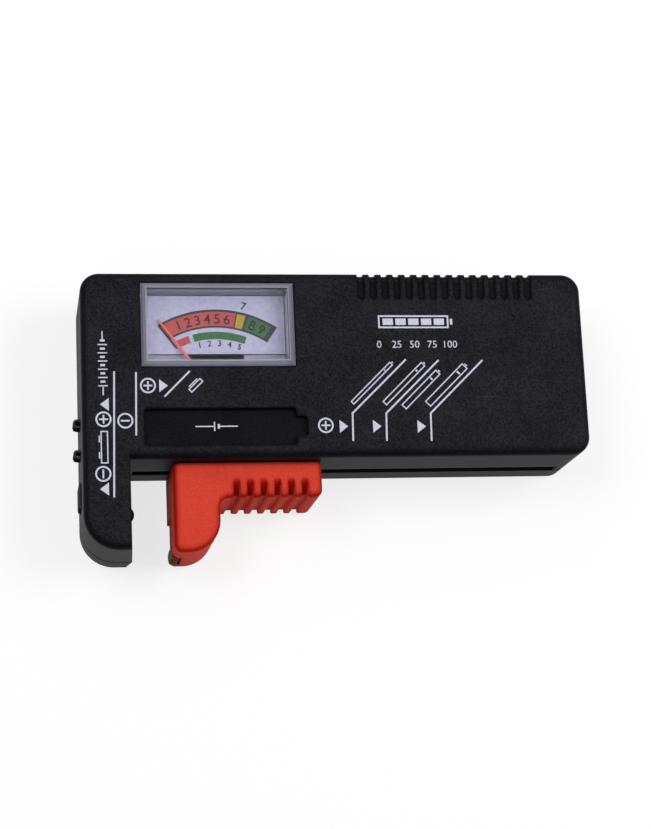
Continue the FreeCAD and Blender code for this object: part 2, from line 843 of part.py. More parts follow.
def coil_loop(inner_half, wall, low, high, depth):
    """A rectangular loop around the magnet, standing in the XZ plane."""
    outer = inner_half + wall
    half = depth / 2
    loop = box(axis_x - outer, axis_x + outer, axis_y - half, axis_y + half, low - wall, high + wall)
    hole = box(axis_x - inner_half, axis_x + inner_half, axis_y - depth, axis_y + depth, low, high)
    return at_rest(loop.cut(hole))


def coil_former():
    """Light metal frame of the moving coil."""
    return coil_loop(former_half, former_wall, former_low, former_high, former_depth)


def coil_winding():
    """Copper winding on the frame."""
    return coil_loop(former_half + former_wall, winding_thickness,
                     former_low - former_wall, former_high + former_wall, winding_depth)


def pointer():
    """Tapered needle with hub and tail, at rest on the left of the scale."""
    root = needle_root_width / 2
    tip = needle_tip_width / 2
    blade = prism([(axis_x - root, axis_y - needle_tail, 0), (axis_x + root, axis_y - needle_tail, 0),
                   (axis_x + root, axis_y, 0), (axis_x + tip, axis_y + needle_length, 0),
                   (axis_x - tip, axis_y + needle_length, 0), (axis_x - root, axis_y, 0)],
                  needle_low, needle_low + needle_thickness)
    hub = rod(axis_x, axis_y, needle_low, hub_high, needle_hub_radius)
    bore = rod(axis_x, axis_y, needle_low - cut_past, hub_high + cut_past, shaft_radius)
    return at_rest(blade.fuse(hub).cut(bore).removeSplitter())


def balance_weight():
    """Weight under the tail of the needle."""
    y = axis_y - needle_tail + balance_radius
    return at_rest(rod(axis_x, y, needle_low - balance_height, needle_low, balance_radius))


def meter_terminals():
    """Two collared pins through the floor of the tray."""
    low = wiring_z - lead_radius - wire_radius
    high = tray_top + terminal_collar_height
    pins = []
    for x in (terminal_left, terminal_right):
        pins.append(turned([(0, low), (terminal_radius, low), (terminal_radius, tray_top),
                            (terminal_collar, tray_top), (terminal_collar, high), (0, high)],
                           x, terminal_y))
    return Part.makeCompound(pins)


def bump_path(middle, width, reach):
    """A hat-shaped bump through the left wall, from low to high."""
    return [(inner_left, middle - width / 2), (left - reach, middle - width / 2),
            (left - reach, middle + width / 2), (inner_left, middle + width / 2)]


def positive_clip():
    """Nine-volt contact with two bumps, bent from strip."""
    bumps = contact_bumps()[1:]
    path = [(inner_left, bumps[0][0] - bumps[0][1] / 2 - strip_landing)]
    for bump in bumps:
        path += bump_path(*bump[:3])
    path.append((inner_left, bumps[-1][0] + bumps[-1][1] / 2 + 2 * strip_landing))
    return ribbon(path[::-1], strip_thickness, strip_bend, positive_strip_low, positive_strip_high)


def negative_strip():
    """Nine-volt contact that also carries the dome of the fixed jaw."""
    bump = contact_bumps()[0]
    high = bump[0] + bump[1] / 2 + strip_landing
    wall_x = jaw_face - shell_wall
    path = [(inner_left, bump[0] - bump[1] / 2 - strip_landing)]
    path += bump_path(*bump[:3])
    path += [(inner_left, high), (wall_x, high), (wall_x, dome_y - rivet_tail_radius - strip_bend)]
    strip = ribbon(path[::-1], strip_thickness, strip_bend, negative_strip_low, negative_strip_high)
    hole = Part.makeCylinder(rivet_radius, strip_thickness + 2 * cut_past,
                             vec(wall_x - strip_thickness - cut_past, dome_y, dome_height), vec(1, 0))
    return strip.cut(hole)


def jaw_rivet():
    """Domed contact riveted through the wall of the fixed jaw."""
    seat = dome_seat - jaw_face + shell_wall + strip_thickness
    shape = turned([(0, -seat - rivet_tail), (rivet_tail_radius, -seat - rivet_tail),
                    (rivet_tail_radius, -seat), (rivet_radius, -seat), (rivet_radius, 0), (0, 0)], 0, 0)
    ball = (dome_radius ** 2 + dome_rise ** 2) / (2 * dome_rise)
    cap = Part.makeSphere(ball, vec(0, 0, dome_rise - ball))
    dome = cap.common(rod(0, 0, 0, ball, ball))
    rivet = shape.fuse(dome).removeSplitter()
    rivet.rotate(vec(0, 0), vec(0, 1, 0), 90)
    rivet.translate(vec(dome_seat, dome_y, dome_height))
    return rivet


def contact_rail():
    """Strip on the guide rib that the slider's wiper runs along."""
    return box(jaw_face + rail_from_jaw, slot_right + rail_past_slot, rail_y, rib_y,
               parting_height, parting_height + rail_height)


def slider_contact():
    """Contact strip round the tip of the sliding jaw, with its riser and wiper."""
    sunk = slider_left + contact_sink
    face = slider_left - contact_proud
    under = bottom - contact_proud
    high = bottom + contact_length
    jog = bottom + contact_tip_length
    riser = slider_left + contact_riser_inset
    t = contact_thickness
    half = contact_width / 2
    skin = ribbon([(riser + t, high), (sunk, high), (sunk, jog + contact_jog), (face, jog), (face, under),
                   (riser, under), (riser, under + contact_hook)], t, contact_bend,
                  contact_mid - half, contact_mid + half)
    stem = ribbon([(riser + wiper_length, wiper_y), (riser, wiper_y), (riser, high - t)], t, strip_bend,
                  tongue_mid - contact_riser / 2, tongue_mid + contact_riser / 2)
    return skin.fuse(stem).removeSplitter()


def slider_grooves():
    """Cutters for the thumb grooves: sloped on the face, between rounded teeth on the side."""
    half = slider_groove_width / 2
    r = slider_tooth_radius
    mouth = grip_line - slider_tooth_sink
    floor = grip_line + slider_groove_depth
    high = grip_line + slider_groove_reach
    slope = math.tan(math.radians(slider_groove_slope))
    core = prism([(slider_back - cut_past, side, 0), (slider_front + cut_past, side, 0),
                  (slider_front + cut_past, high + cut_past / slope, 0),
                  (slider_front - (high - floor) * slope, floor, 0),
                  (slider_back - cut_past, floor, 0)], 0, slider_length)
    core.rotate(vec(0, 0), vec(0, 1, 0), -90)
    core.translate(vec(slider_right, 0, 0))
    cutters = []
    for i in range(slider_groove_count):
        x = slider_right - slider_groove_from_end - i * slider_groove_pitch
        comb = prism([(x - half - r, grip_line - cut_past, 0), (x + half + r, grip_line - cut_past, 0),
                      (x + half + r, mouth, 0), (x + half, mouth, r), (x + half, floor, slider_floor_radius),
                      (x - half, floor, slider_floor_radius), (x - half, mouth, r), (x - half - r, mouth, 0)],
                     slider_back - cut_past, slider_front + cut_past)
        scoop = prism([(x - half, floor - slider_floor_radius, 0), (x + half, floor - slider_floor_radius, 0),
                       (x + half, high, half - end_flat), (x - half, high, half - end_flat)],
                      slider_back - cut_past, slider_front + cut_past)
        cutters.append(comb.fuse(scoop.cut(core)))
    return cutters


def slider_arm(contact):
    """Red sliding jaw with tongue and guide flange, cut for its contact strip."""
    arm_x = slider_left + slider_arm_width
    arm = prism([(slider_left, slider_high, 0), (slider_left, bottom, slider_corner_radius),
                 (arm_x, bottom, slider_tip_radius), (arm_x, grip_line, slider_root_radius),
                 (slider_right, grip_line, slider_corner_radius), (slider_right, slider_high, 0)],
                slider_back, slider_front)
    rim = [e for e in edges_at_height(arm, slider_front) if e.BoundBox.YMin < slider_high - 1e-6]
    arm = arm.makeFillet(slider_edge_radius, rim)
    tongue = box(tongue_left, tongue_right, slider_high - tongue_inset, flange_high_y,
                 tongue_low, tongue_high)
    flange = box(tongue_left, tongue_right, flange_low_y, flange_high_y, flange_low, flange_high)
    post = box(hook_x, tongue_right, flange_low_y, spring_y + spring_radius,
               flange_high - flange_thickness, spring_z + spring_radius)
    arm = arm.fuse([tongue, flange, post])
    slot_x = slider_left + contact_riser_inset + contact_thickness - hook_slot_width
    slot = box(slot_x, slot_x + hook_slot_width, bottom - cut_past, bottom + hook_slot_depth,
               contact_mid - hook_slot_height / 2, contact_mid + hook_slot_height / 2)
    bed = box(slider_left - cut_past, slider_left + contact_sink,
              bottom + contact_tip_length, bottom + contact_length,
              slider_back - cut_past, contact_mid + contact_width / 2 + contact_clearance)
    return arm.cut(slider_grooves() + [slot, bed, contact]).removeSplitter()


def biarc(p0, t0, p1, t1):
    """Two arcs that join two points with given directions."""
    across = p1 - p0
    both = t0 + t1
    a = 2 * (t0.dot(t1) - 1)
    b = -2 * across.dot(both)
    c = across.dot(across)
    reach = c / -b if abs(a) < 1e-9 else (-b - math.sqrt(b * b - 4 * a * c)) / (2 * a)
    c0 = p0 + t0 * reach
    c1 = p1 - t1 * reach
    joint = (c0 + c1) / 2
    arcs = []
    for start, corner, end in ((p0, c0, joint), (joint, c1, p1)):
        weight = start.distanceToPoint(end) / (2 * reach)
        middle = (start + corner * (2 * weight) + end) / (2 + 2 * weight)
        arcs.append(Part.Arc(start, middle, end).toShape())
    return arcs


def slider_spring():
    """Tension spring from the case's anchor to the slider's post, one wire."""
    x0 = anchor_x + anchor_thickness
    x1 = hook_x
    run_in = spring_lead + 2 * spring_radius
    pitch = (x1 - x0 - 2 * run_in) / spring_turns

    def helix(turn):
        angle = 2 * math.pi * turn
        return vec(x0 + run_in + pitch * turn, spring_y + spring_radius * math.cos(angle),
                   spring_z + spring_radius * math.sin(angle))

    def heading(turn):
        angle = 2 * math.pi * turn
        around = 2 * math.pi * spring_radius
        return vec(pitch, -around * math.sin(angle), around * math.cos(angle)).normalize()

    start = vec(x0, spring_y, spring_z - spring_radius)
    end = vec(x1, spring_y, spring_z + spring_radius)
    ahead = vec(1, 0)
    edges = [Part.makeLine(start, start + ahead * spring_lead)]
    edges += biarc(start + ahead * spring_lead, ahead, helix(0), heading(0))
    for i in range(2 * spring_turns):
        edges += biarc(helix(i / 2), heading(i / 2), helix((i + 1) / 2), heading((i + 1) / 2))
    edges += biarc(helix(spring_turns), heading(spring_turns), end - ahead * spring_lead, ahead)
    edges.append(Part.makeLine(end - ahead * spring_lead, end))
    path = Part.Wire(edges)
    print("spring: least gap to itself", round(least_gap(path, 3 * spring_radius) - spring_wire, 2))
    ring = Part.makeCircle(spring_wire / 2, start, ahead)
    return path.makePipeShell([Part.Wire(ring)], True, False)


def least_gap(path, apart):
    """Least distance between points of a path that lie apart along it."""
    step = 0.25
    points = path.discretize(Distance=step)
    skip = int(apart / step)
    return min(p.distanceToPoint(q) for i, p in enumerate(points) for q in points[i + skip:i + 8 * skip])


def resistor_body(y):
    """Dog-bone resistor body along X on the meter's axis."""
    half = resistor_length / 2
    end = half - resistor_chamfer
    cap = half - resistor_cap
    neck = cap - resistor_shoulder
    r = resistor_radius
    waist = r - resistor_waist
    body = turned([(0, -half), (r - resistor_chamfer, -half), (r, -end), (r, -cap), (waist, -neck),
                   (waist, neck), (r, cap), (r, end), (r - resistor_chamfer, half), (0, half)], 0, 0)
    body.rotate(vec(0, 0), vec(0, 1, 0), 90)
    body.translate(vec(axis_x, y, wiring_z))
    return body


def load_resistor():
    """Resistor across the two terminals."""
    y = terminal_y - load_drop
    end = terminal_y - terminal_radius - joint_gap
    inner = resistor_length / 2 - lead_radius
    leads = [tube([(axis_x + sign * inner, y, wiring_z), (axis_x + sign * terminal_spacing / 2, y, wiring_z),
                   (axis_x + sign * terminal_spacing / 2, end, wiring_z)], lead_radius, lead_bend)
             for sign in (-1, 1)]
    return resistor_body(y).fuse(leads).removeSplitter()


def dropper_resistor():
    """Resistor from the right terminal to the wire of the nine-volt clip."""
    y = dropper_y
    inner = resistor_length / 2 - lead_radius
    start = terminal_y + terminal_radius + joint_gap
    right_lead = tube([(axis_x + inner, y, wiring_z), (terminal_right, y, wiring_z),
                       (terminal_right, start, wiring_z)], lead_radius, lead_bend)
    left_lead = tube([(axis_x - inner, y, wiring_z), (terminal_left, y, wiring_z)], lead_radius, lead_bend)
    return resistor_body(y).fuse([right_lead, left_lead]).removeSplitter()


def wire_positive():
    """From the positive clip to the dropper resistor."""
    column = inner_left + positive_wire_inset
    y0 = positive_y + positive_bump_spacing / 2 + positive_bump_width / 2 + strip_landing
    return tube([(inner_left + strip_thickness, y0, stud_height), (column, y0, stud_height),
                 (column, y0, wiring_z), (column, dropper_y, wiring_z),
                 (terminal_left - joint_gap, dropper_y, wiring_z)], wire_radius, wire_bend)


def wire_negative():
    """From the negative strip to the left terminal."""
    column = jaw_face - shell_wall - negative_wire_inset
    y0 = negative_y + negative_bump_width / 2 + strip_landing
    return tube([(column, y0, stud_height), (column, y0 + 2 * wire_bend, stud_height),
                 (column, y0 + 2 * wire_bend, wiring_z), (column, terminal_y, wiring_z),
                 (terminal_left - terminal_radius - joint_gap, terminal_y, wiring_z)],
                wire_radius, wire_bend)


def wire_rail():
    """From the contact rail to the right terminal."""
    x = terminal_right + rail_wire_reach
    y = rail_y + rail_thickness / 2
    return tube([(x, y, parting_height), (x, y, wiring_z), (x, terminal_y, wiring_z),
                 (terminal_right + terminal_radius + joint_gap, terminal_y, wiring_z)],
                wire_radius, wire_bend)


def build():
    """Every node of the tester by name."""
    contact = slider_contact()
    return {
        "front_shell": front_shell(),
        "rear_shell": rear_shell(),
        "case_screws": case_screws(),
        "meter_lens": meter_lens(),
        "meter_case": meter_case(),
        "dial_plate": dial_plate(),
        "movement_cup": movement_cup(),
        "yoke_ring": yoke_ring(),
        "core_magnet": core_magnet(),
        "core_spacers": core_spacers(),
        "upper_bridge": upper_bridge(),
        "jewel_screws": jewel_screws(),
        "pivot_shafts": pivot_shafts(),
        "upper_hairspring": hairspring(upper_spring_low),
        "lower_hairspring": hairspring(lower_spring_low),
        "coil_former": coil_former(),
        "coil_winding": coil_winding(),
        "pointer": pointer(),
        "balance_weight": balance_weight(),
        "meter_terminals": meter_terminals(),
        "positive_clip": positive_clip(),
        "negative_strip": negative_strip(),
        "jaw_rivet": jaw_rivet(),
        "contact_rail": contact_rail(),
        "slider_arm": slider_arm(contact),
        "slider_contact": contact,
        "slider_spring": slider_spring(),
        "load_resistor": load_resistor(),
        "dropper_resistor": dropper_resistor(),
        "wire_positive": wire_positive(),
        "wire_negative": wire_negative(),
        "wire_rail": wire_rail(),
    }


os.makedirs("parts", exist_ok=True)
for name, shape in build().items():
    shape.exportStep(f"parts/{name}.step")
    bounds = shape.BoundBox
    print(name, len(shape.Solids), "ok" if shape.isValid() else "INVALID",
          [round(v, 2) for v in (bounds.XMin, bounds.XMax, bounds.YMin, bounds.YMax,
                                 bounds.ZMin, bounds.ZMax)])
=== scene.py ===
import logging
import math
from dataclasses import dataclass, field
from enum import Enum

import bmesh
import bpy
from mathutils import Matrix, Vector


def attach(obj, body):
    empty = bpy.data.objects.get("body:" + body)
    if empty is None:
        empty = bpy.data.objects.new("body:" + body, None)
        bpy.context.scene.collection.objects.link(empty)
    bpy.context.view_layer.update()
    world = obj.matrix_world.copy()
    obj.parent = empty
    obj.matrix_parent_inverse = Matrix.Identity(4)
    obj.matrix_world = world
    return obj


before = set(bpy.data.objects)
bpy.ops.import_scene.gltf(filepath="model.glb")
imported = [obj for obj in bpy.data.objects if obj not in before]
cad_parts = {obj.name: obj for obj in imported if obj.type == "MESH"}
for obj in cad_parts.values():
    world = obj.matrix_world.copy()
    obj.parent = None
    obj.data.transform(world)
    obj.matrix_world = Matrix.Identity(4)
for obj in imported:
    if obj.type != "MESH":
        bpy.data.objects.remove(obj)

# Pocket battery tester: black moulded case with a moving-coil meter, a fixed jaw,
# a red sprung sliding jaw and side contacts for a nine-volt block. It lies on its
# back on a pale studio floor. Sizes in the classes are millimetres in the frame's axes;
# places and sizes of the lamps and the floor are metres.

LOG = logging.getLogger("battery_tester")
MM = 0.001
WHITE = "#FFFFFF"
WELD_MM = 1e-5
SUNK_MM = 0.02
RING_STEPS = 40
SECTOR_STEP_DEG = 1.5
DIGIT_SHARE = 0.7
Point = tuple[float, float]
Spot = tuple[float, float, float]


def srgb(code: str) -> tuple[float, float, float, float]:
    """Turn an sRGB hex colour into linear RGBA.

    Args:
        code: Colour as "#RRGGBB".

    Returns:
        Linear red, green, blue and an alpha of one.
    """
    parts = [int(code[i:i + 2], 16) / 255 for i in (1, 3, 5)]
    linear = [c / 12.92 if c <= 0.04045 else ((c + 0.055) / 1.055) ** 2.4 for c in parts]
    return (linear[0], linear[1], linear[2], 1.0)


def per_metre(size_mm: float) -> float:
    """Give the texture scale at which one feature is size_mm across."""
    return 1.0 / (size_mm * MM)


def add_node(tree: bpy.types.NodeTree, kind: str, inputs: dict | None = None,
             stops: dict[float, str] | None = None, **settings) -> bpy.types.Node:
    """Add a node with its settings, input values and links.

    Args:
        tree: Node tree that gets the node.
        kind: Blender's type name of the node.
        inputs: Value or output socket for each input, by name or index.
        stops: Hex colour at each position, for a colour ramp.
        **settings: Properties of the node itself.

    Returns:
        The new node.
    """
    node = tree.nodes.new(kind)
    for name, value in settings.items():
        setattr(node, name, value)
    for key, value in (inputs or {}).items():
        if isinstance(value, bpy.types.NodeSocket):
            tree.links.new(value, node.inputs[key])
        else:
            node.inputs[key].default_value = value
    if stops:
        elements = node.color_ramp.elements
        while len(elements) < len(stops):
            elements.new(1.0)
        for element, place in zip(elements, sorted(stops)):
            element.position = place
            element.color = srgb(stops[place])
    return node


def new_material(name: str) -> tuple[bpy.types.Material, bpy.types.NodeTree]:
    """Make an empty node material.

    Args:
        name: Name of the finish.

    Returns:
        The material and its node tree.
    """
    made = bpy.data.materials.new(name)
    made.use_nodes = True
    made.node_tree.nodes.clear()
    return made, made.node_tree


def past_box(tree: bpy.types.NodeTree, middle: Spot, size: Spot) -> bpy.types.NodeSocket:
    """Measure how far a shaded point lies outside an upright box.

    Args:
        tree: Node tree that gets the nodes.
        middle: Middle of the box.
        size: Size of the box along each axis.

    Returns:
        Metres past the nearest wall, below zero inside the box.
    """
    coords = add_node(tree, "ShaderNodeTexCoord").outputs["Object"]
    shift = add_node(tree, "ShaderNodeVectorMath", {0: coords, 1: [c * MM for c in middle]},
                     operation="SUBTRACT")
    away = add_node(tree, "ShaderNodeVectorMath", {0: shift.outputs[0]}, operation="ABSOLUTE")
    past = add_node(tree, "ShaderNodeVectorMath",
                    {0: away.outputs[0], 1: [c * MM / 2 for c in size]}, operation="SUBTRACT")
    axes = add_node(tree, "ShaderNodeSeparateXYZ", {0: past.outputs[0]})
    flat = add_node(tree, "ShaderNodeMath", {0: axes.outputs["X"], 1: axes.outputs["Y"]},
                    operation="MAXIMUM")
    return add_node(tree, "ShaderNodeMath", {0: flat.outputs[0], 1: axes.outputs["Z"]},
                    operation="MAXIMUM").outputs[0]


class Lay(Enum):
    """Direction in which a metal's fine marks run, as stretch along each axis."""

    ALONG = (0.04, 1.0, 1.0)
    UPRIGHT = (1.0, 1.0, 0.04)
    EVEN = (1.0, 1.0, 1.0)


@dataclass(frozen=True)
class MouldedPlastic:
    """Injection-moulded ABS with a spark-eroded grain, softened at its edges, with painted shade
    on its edge radii and in sunk beds.
    """

    name: str
    deep: str
    bright: str
    roughness: float
    specular: float
    scuff: str
    grain_mm: float = 0.28
    grain_depth_mm: float = 0.012
    flow_mm: float = 9.0
    flow_share: float = 0.2
    tone_span: Point = (0.40, 0.62)
    gloss_span: Point = (0.3, 0.7)
    gloss_drift: float = 0.06
    scuff_mm: float = 0.35
    scuff_turn: Spot = (0.0, 0.0, 1.2)
    scuff_span: Point = (0.72, 0.80)
    scuff_cover: float = 0.35
    edge_mm: float = 0.25
    # Painted shade: edge radii between face and wall take this darker colour, and sunk beds take a
    # darker tone.
    radius_tint: str = WHITE
    face_span: Point = (0.70, 0.99)
    wall_span: Point = (0.35, 0.05)
    beds: tuple[tuple[Spot, Spot], ...] = ()
    bed_tone: float = 0.45
    bed_edge_mm: float = 0.1

    def material(self) -> bpy.types.Material:
        """Build the plastic.

        Returns:
            A finely mottled plastic whose grain breaks up the gloss.
        """
        made, tree = new_material(self.name)
        coords = add_node(tree, "ShaderNodeTexCoord").outputs["Object"]
        # Grain cells are drawn at a quarter to a third of a millimetre so that they show at all.
        grain = add_node(tree, "ShaderNodeTexNoise",
                         {"Vector": coords, "Scale": per_metre(self.grain_mm), "Detail": 3.0,
                          "Roughness": 0.6}).outputs["Fac"]
        # Flow of the melt: slow, slight drift of tone over several millimetres.
        flow = add_node(tree, "ShaderNodeTexNoise",
                        {"Vector": coords, "Scale": per_metre(self.flow_mm),
                         "Detail": 2.0}).outputs["Fac"]
        tone = add_node(tree, "ShaderNodeMix",
                        {0: self.flow_share, 2: grain, 3: flow}).outputs[0]
        soft = add_node(tree, "ShaderNodeBevel", {"Radius": self.edge_mm * MM},
                        samples=6).outputs[0]
        colour = self.polished(tree, self.scuffed(tree, coords, tone), soft)
        gloss = add_node(tree, "ShaderNodeMapRange",
                         {"Value": tone, "From Min": self.gloss_span[0],
                          "From Max": self.gloss_span[1],
                          "To Min": self.roughness - self.gloss_drift,
                          "To Max": self.roughness + self.gloss_drift})
        bump = add_node(tree, "ShaderNodeBump",
                        {"Height": grain, "Strength": 1.0, "Normal": soft,
                         "Distance": self.grain_depth_mm * MM})
        shader = add_node(tree, "ShaderNodeBsdfPrincipled",
                          {"Base Color": colour, "Roughness": gloss.outputs[0], "IOR": 1.54,
                           "Normal": bump.outputs[0], "Specular IOR Level": self.specular})
        add_node(tree, "ShaderNodeOutputMaterial", {"Surface": shader.outputs[0]})
        return made

    def scuffed(self, tree: bpy.types.NodeTree, coords: bpy.types.NodeSocket,
                tone: bpy.types.NodeSocket) -> bpy.types.NodeSocket:
        """Colour the skin by its tone and draw hairline scuffs from handling over it.

        Args:
            tree: Node tree that gets the nodes.
            coords: Object coordinates.
            tone: Mottle of the skin.

        Returns:
            Colour of the skin.
        """
        skin = add_node(tree, "ShaderNodeValToRGB", {"Fac": tone},
                        dict(zip(self.tone_span, (self.deep, self.bright))))
        # A scuff is sparse noise drawn out along a slant.
        drawn = add_node(tree, "ShaderNodeMapping",
                         {"Vector": coords, "Rotation": self.scuff_turn,
                          "Scale": Lay.ALONG.value})
        hair = add_node(tree, "ShaderNodeTexNoise",
                        {"Vector": drawn.outputs[0], "Detail": 1.0,
                         "Scale": per_metre(self.scuff_mm)})
        worn = add_node(tree, "ShaderNodeMapRange",
                        {"Value": hair.outputs["Fac"], "From Min": self.scuff_span[0],
                         "From Max": self.scuff_span[1], "To Max": self.scuff_cover})
        return add_node(tree, "ShaderNodeMix",
                        {0: worn.outputs[0], 6: skin.outputs["Color"], 7: srgb(self.scuff)},
                        data_type="RGBA").outputs[2]

    def polished(self, tree: bpy.types.NodeTree, colour: bpy.types.NodeSocket,
                 soft: bpy.types.NodeSocket) -> bpy.types.NodeSocket:
        """Darken edge radii and sunk beds with painted shade, a colour that stands in for the
        shade that falls there.

        Args:
            tree: Node tree that gets the nodes.
            colour: Colour of the skin.
            soft: Normal, rounded at the edges.

        Returns:
            Colour with the painted shade on its radii and beds.
        """
        # Painted shade: the tilt of the rounded normal darkens the radii, and boxes darken the
        # sunk beds.
        facing = add_node(tree, "ShaderNodeSeparateXYZ", {0: soft})
        level = add_node(tree, "ShaderNodeMath", {0: facing.outputs["Z"]}, operation="ABSOLUTE")
        face, wall = (add_node(tree, "ShaderNodeMapRange",
                               {"Value": level.outputs[0], "From Min": start, "From Max": end})
                      for start, end in (self.face_span, self.wall_span))
        flat = add_node(tree, "ShaderNodeMath", {0: face.outputs[0], 1: wall.outputs[0]},
                        operation="MAXIMUM")
        radius = add_node(tree, "ShaderNodeMix",
                          {0: flat.outputs[0], 6: srgb(self.radius_tint), 7: srgb(WHITE)},
                          data_type="RGBA")
        tints = [radius.outputs[2]]
        for middle, size in self.beds:
            shade = add_node(tree, "ShaderNodeMapRange",
                             {"Value": past_box(tree, middle, size),
                              "From Max": self.bed_edge_mm * MM, "To Min": self.bed_tone})
            tints.append(shade.outputs[0])
        for tint in tints:
            colour = add_node(tree, "ShaderNodeMix", {0: 1.0, 6: colour, 7: tint},
                              data_type="RGBA", blend_type="MULTIPLY").outputs[2]
        return colour


@dataclass(frozen=True)
class ClearCover:
    """Clear moulded polystyrene: a polished pane between hazy rims and walls, with light and shade
    painted on the rims as lines.
    """

    name: str = "clear_polystyrene"
    tint: str = "#F9F9FC"
    # Painted light and shade: the pale and grey lines that run round the pane.
    rim_lines: tuple[str, ...] = ("#B4B4C2", "#868698", "#A2A2B2", "#767686", "#9898AA")
    middle: Spot = (-25.75, 18.235, 24.0)
    pane: Spot = (30.1, 15.7, 40.0)
    rim_mm: float = 1.4
    edge_mm: float = 0.3
    wall_clear: float = 0.45
    wall_roughness: float = 0.3
    swirl_mm: float = 3.0
    polish: Point = (0.01, 0.05)

    def material(self) -> bpy.types.Material:
        """Build the cover.

        Returns:
            Clear plastic whose pane passes lamp light down to the scale.
        """
        made, tree = new_material(self.name)
        past = past_box(tree, self.middle, self.pane)
        rim = add_node(tree, "ShaderNodeMapRange",
                       {"Value": past, "From Max": self.edge_mm * MM})
        # Painted light and shade: pale and grey lines painted round the pane stand in for the
        # light that the bent rim gathers and the shade in its walls.
        across = add_node(tree, "ShaderNodeMapRange",
                          {"Value": past, "From Max": self.rim_mm * MM})
        lines = {0.0: self.tint}
        for i, code in enumerate(self.rim_lines, 1):
            lines[i / len(self.rim_lines)] = code
        colour = add_node(tree, "ShaderNodeValToRGB", {"Fac": across.outputs[0]}, lines)
        # Swirls of the melt leave the polish a little uneven.
        coords = add_node(tree, "ShaderNodeTexCoord").outputs["Object"]
        swirl = add_node(tree, "ShaderNodeTexNoise",
                         {"Vector": coords, "Detail": 1.0, "Scale": per_metre(self.swirl_mm)})
        gloss = add_node(tree, "ShaderNodeMapRange",
                         {"Value": swirl.outputs["Fac"], "To Min": self.polish[0],
                          "To Max": self.polish[1]})
        rough = add_node(tree, "ShaderNodeMix",
                         {0: rim.outputs[0], 2: gloss.outputs[0], 3: self.wall_roughness})
        clear = add_node(tree, "ShaderNodeMix", {0: rim.outputs[0], 2: 1.0, 3: self.wall_clear})
        glass = add_node(tree, "ShaderNodeBsdfPrincipled",
                         {"Base Color": colour.outputs["Color"], "Roughness": rough.outputs[0],
                          "IOR": 1.49, "Transmission Weight": clear.outputs[0]})
        passed = add_node(tree, "ShaderNodeBsdfTransparent", {"Color": srgb(self.tint)})
        path = add_node(tree, "ShaderNodeLightPath")
        lit = add_node(tree, "ShaderNodeMixShader",
                       {0: path.outputs["Is Shadow Ray"], 1: glass.outputs[0],
                        2: passed.outputs[0]})
        add_node(tree, "ShaderNodeOutputMaterial", {"Surface": lit.outputs[0]})
        return made


@dataclass(frozen=True)
class Paint:
    """Printed ink, scale paint or enamel: a thin coat, slightly uneven."""

    name: str
    deep: str
    bright: str
    roughness: float
    cloud_mm: float = 0.5
    specular: float = 0.4
    tone_span: Point = (0.3, 0.62)
    gloss_drift: float = 0.08
    relief_mm: float = 0.004

    def material(self) -> bpy.types.Material:
        """Build the coat.

        Returns:
            A near-even colour whose coverage drifts over cloud_mm.
        """
        made, tree = new_material(self.name)
        coords = add_node(tree, "ShaderNodeTexCoord").outputs["Object"]
        cloud = add_node(tree, "ShaderNodeTexNoise",
                         {"Vector": coords, "Scale": per_metre(self.cloud_mm), "Detail": 4.0,
                          "Roughness": 0.65}).outputs["Fac"]
        colour = add_node(tree, "ShaderNodeValToRGB", {"Fac": cloud},
                          dict(zip(self.tone_span, (self.deep, self.bright))))
        gloss = add_node(tree, "ShaderNodeMapRange",
                         {"Value": cloud, "To Min": self.roughness - self.gloss_drift,
                          "To Max": self.roughness + self.gloss_drift})
        bump = add_node(tree, "ShaderNodeBump",
                        {"Height": cloud, "Distance": self.relief_mm * MM, "Strength": 1.0})
        shader = add_node(tree, "ShaderNodeBsdfPrincipled",
                          {"Base Color": colour.outputs["Color"], "Roughness": gloss.outputs[0],
                           "Normal": bump.outputs[0], "Specular IOR Level": self.specular})
        add_node(tree, "ShaderNodeOutputMaterial", {"Surface": shader.outputs[0]})
        return made


@dataclass(frozen=True)
class Metal:
    """Bare or plated metal with fine marks from rolling, drawing or turning."""

    name: str
    deep: str
    bright: str
    roughness: float
    lay: Lay = Lay.EVEN
    mark_mm: float = 0.2
    edge_mm: float = 0.08
    edge_tint: str = WHITE
    tone_span: Point = (0.3, 0.7)
    gloss_drift: Point = (-0.08, 0.1)
    relief_mm: float = 0.003

    def material(self) -> bpy.types.Material:
        """Build the metal.

        Returns:
            Metal whose tone and gloss vary along its marks.
        """
        made, tree = new_material(self.name)
        coords = add_node(tree, "ShaderNodeTexCoord").outputs["Object"]
        drawn = add_node(tree, "ShaderNodeMapping", {"Vector": coords, "Scale": self.lay.value})
        marks = add_node(tree, "ShaderNodeTexNoise",
                         {"Vector": drawn.outputs[0], "Scale": per_metre(self.mark_mm),
                          "Detail": 4.0, "Roughness": 0.7}).outputs["Fac"]
        colour = add_node(tree, "ShaderNodeValToRGB", {"Fac": marks},
                          dict(zip(self.tone_span, (self.deep, self.bright))))
        gloss = add_node(tree, "ShaderNodeMapRange",
                         {"Value": marks, "From Min": self.tone_span[0],
                          "From Max": self.tone_span[1],
                          "To Min": self.roughness + self.gloss_drift[0],
                          "To Max": self.roughness + self.gloss_drift[1]})
        soft = add_node(tree, "ShaderNodeBevel", {"Radius": self.edge_mm * MM}, samples=4)
        bump = add_node(tree, "ShaderNodeBump",
                        {"Height": marks, "Distance": self.relief_mm * MM, "Strength": 1.0,
                         "Normal": soft.outputs[0]})
        shader = add_node(tree, "ShaderNodeBsdfPrincipled",
                          {"Base Color": colour.outputs["Color"], "Metallic": 1.0,
                           "Specular Tint": srgb(self.edge_tint), "Roughness": gloss.outputs[0],
                           "Normal": bump.outputs[0]})
        add_node(tree, "ShaderNodeOutputMaterial", {"Surface": shader.outputs[0]})
        return made


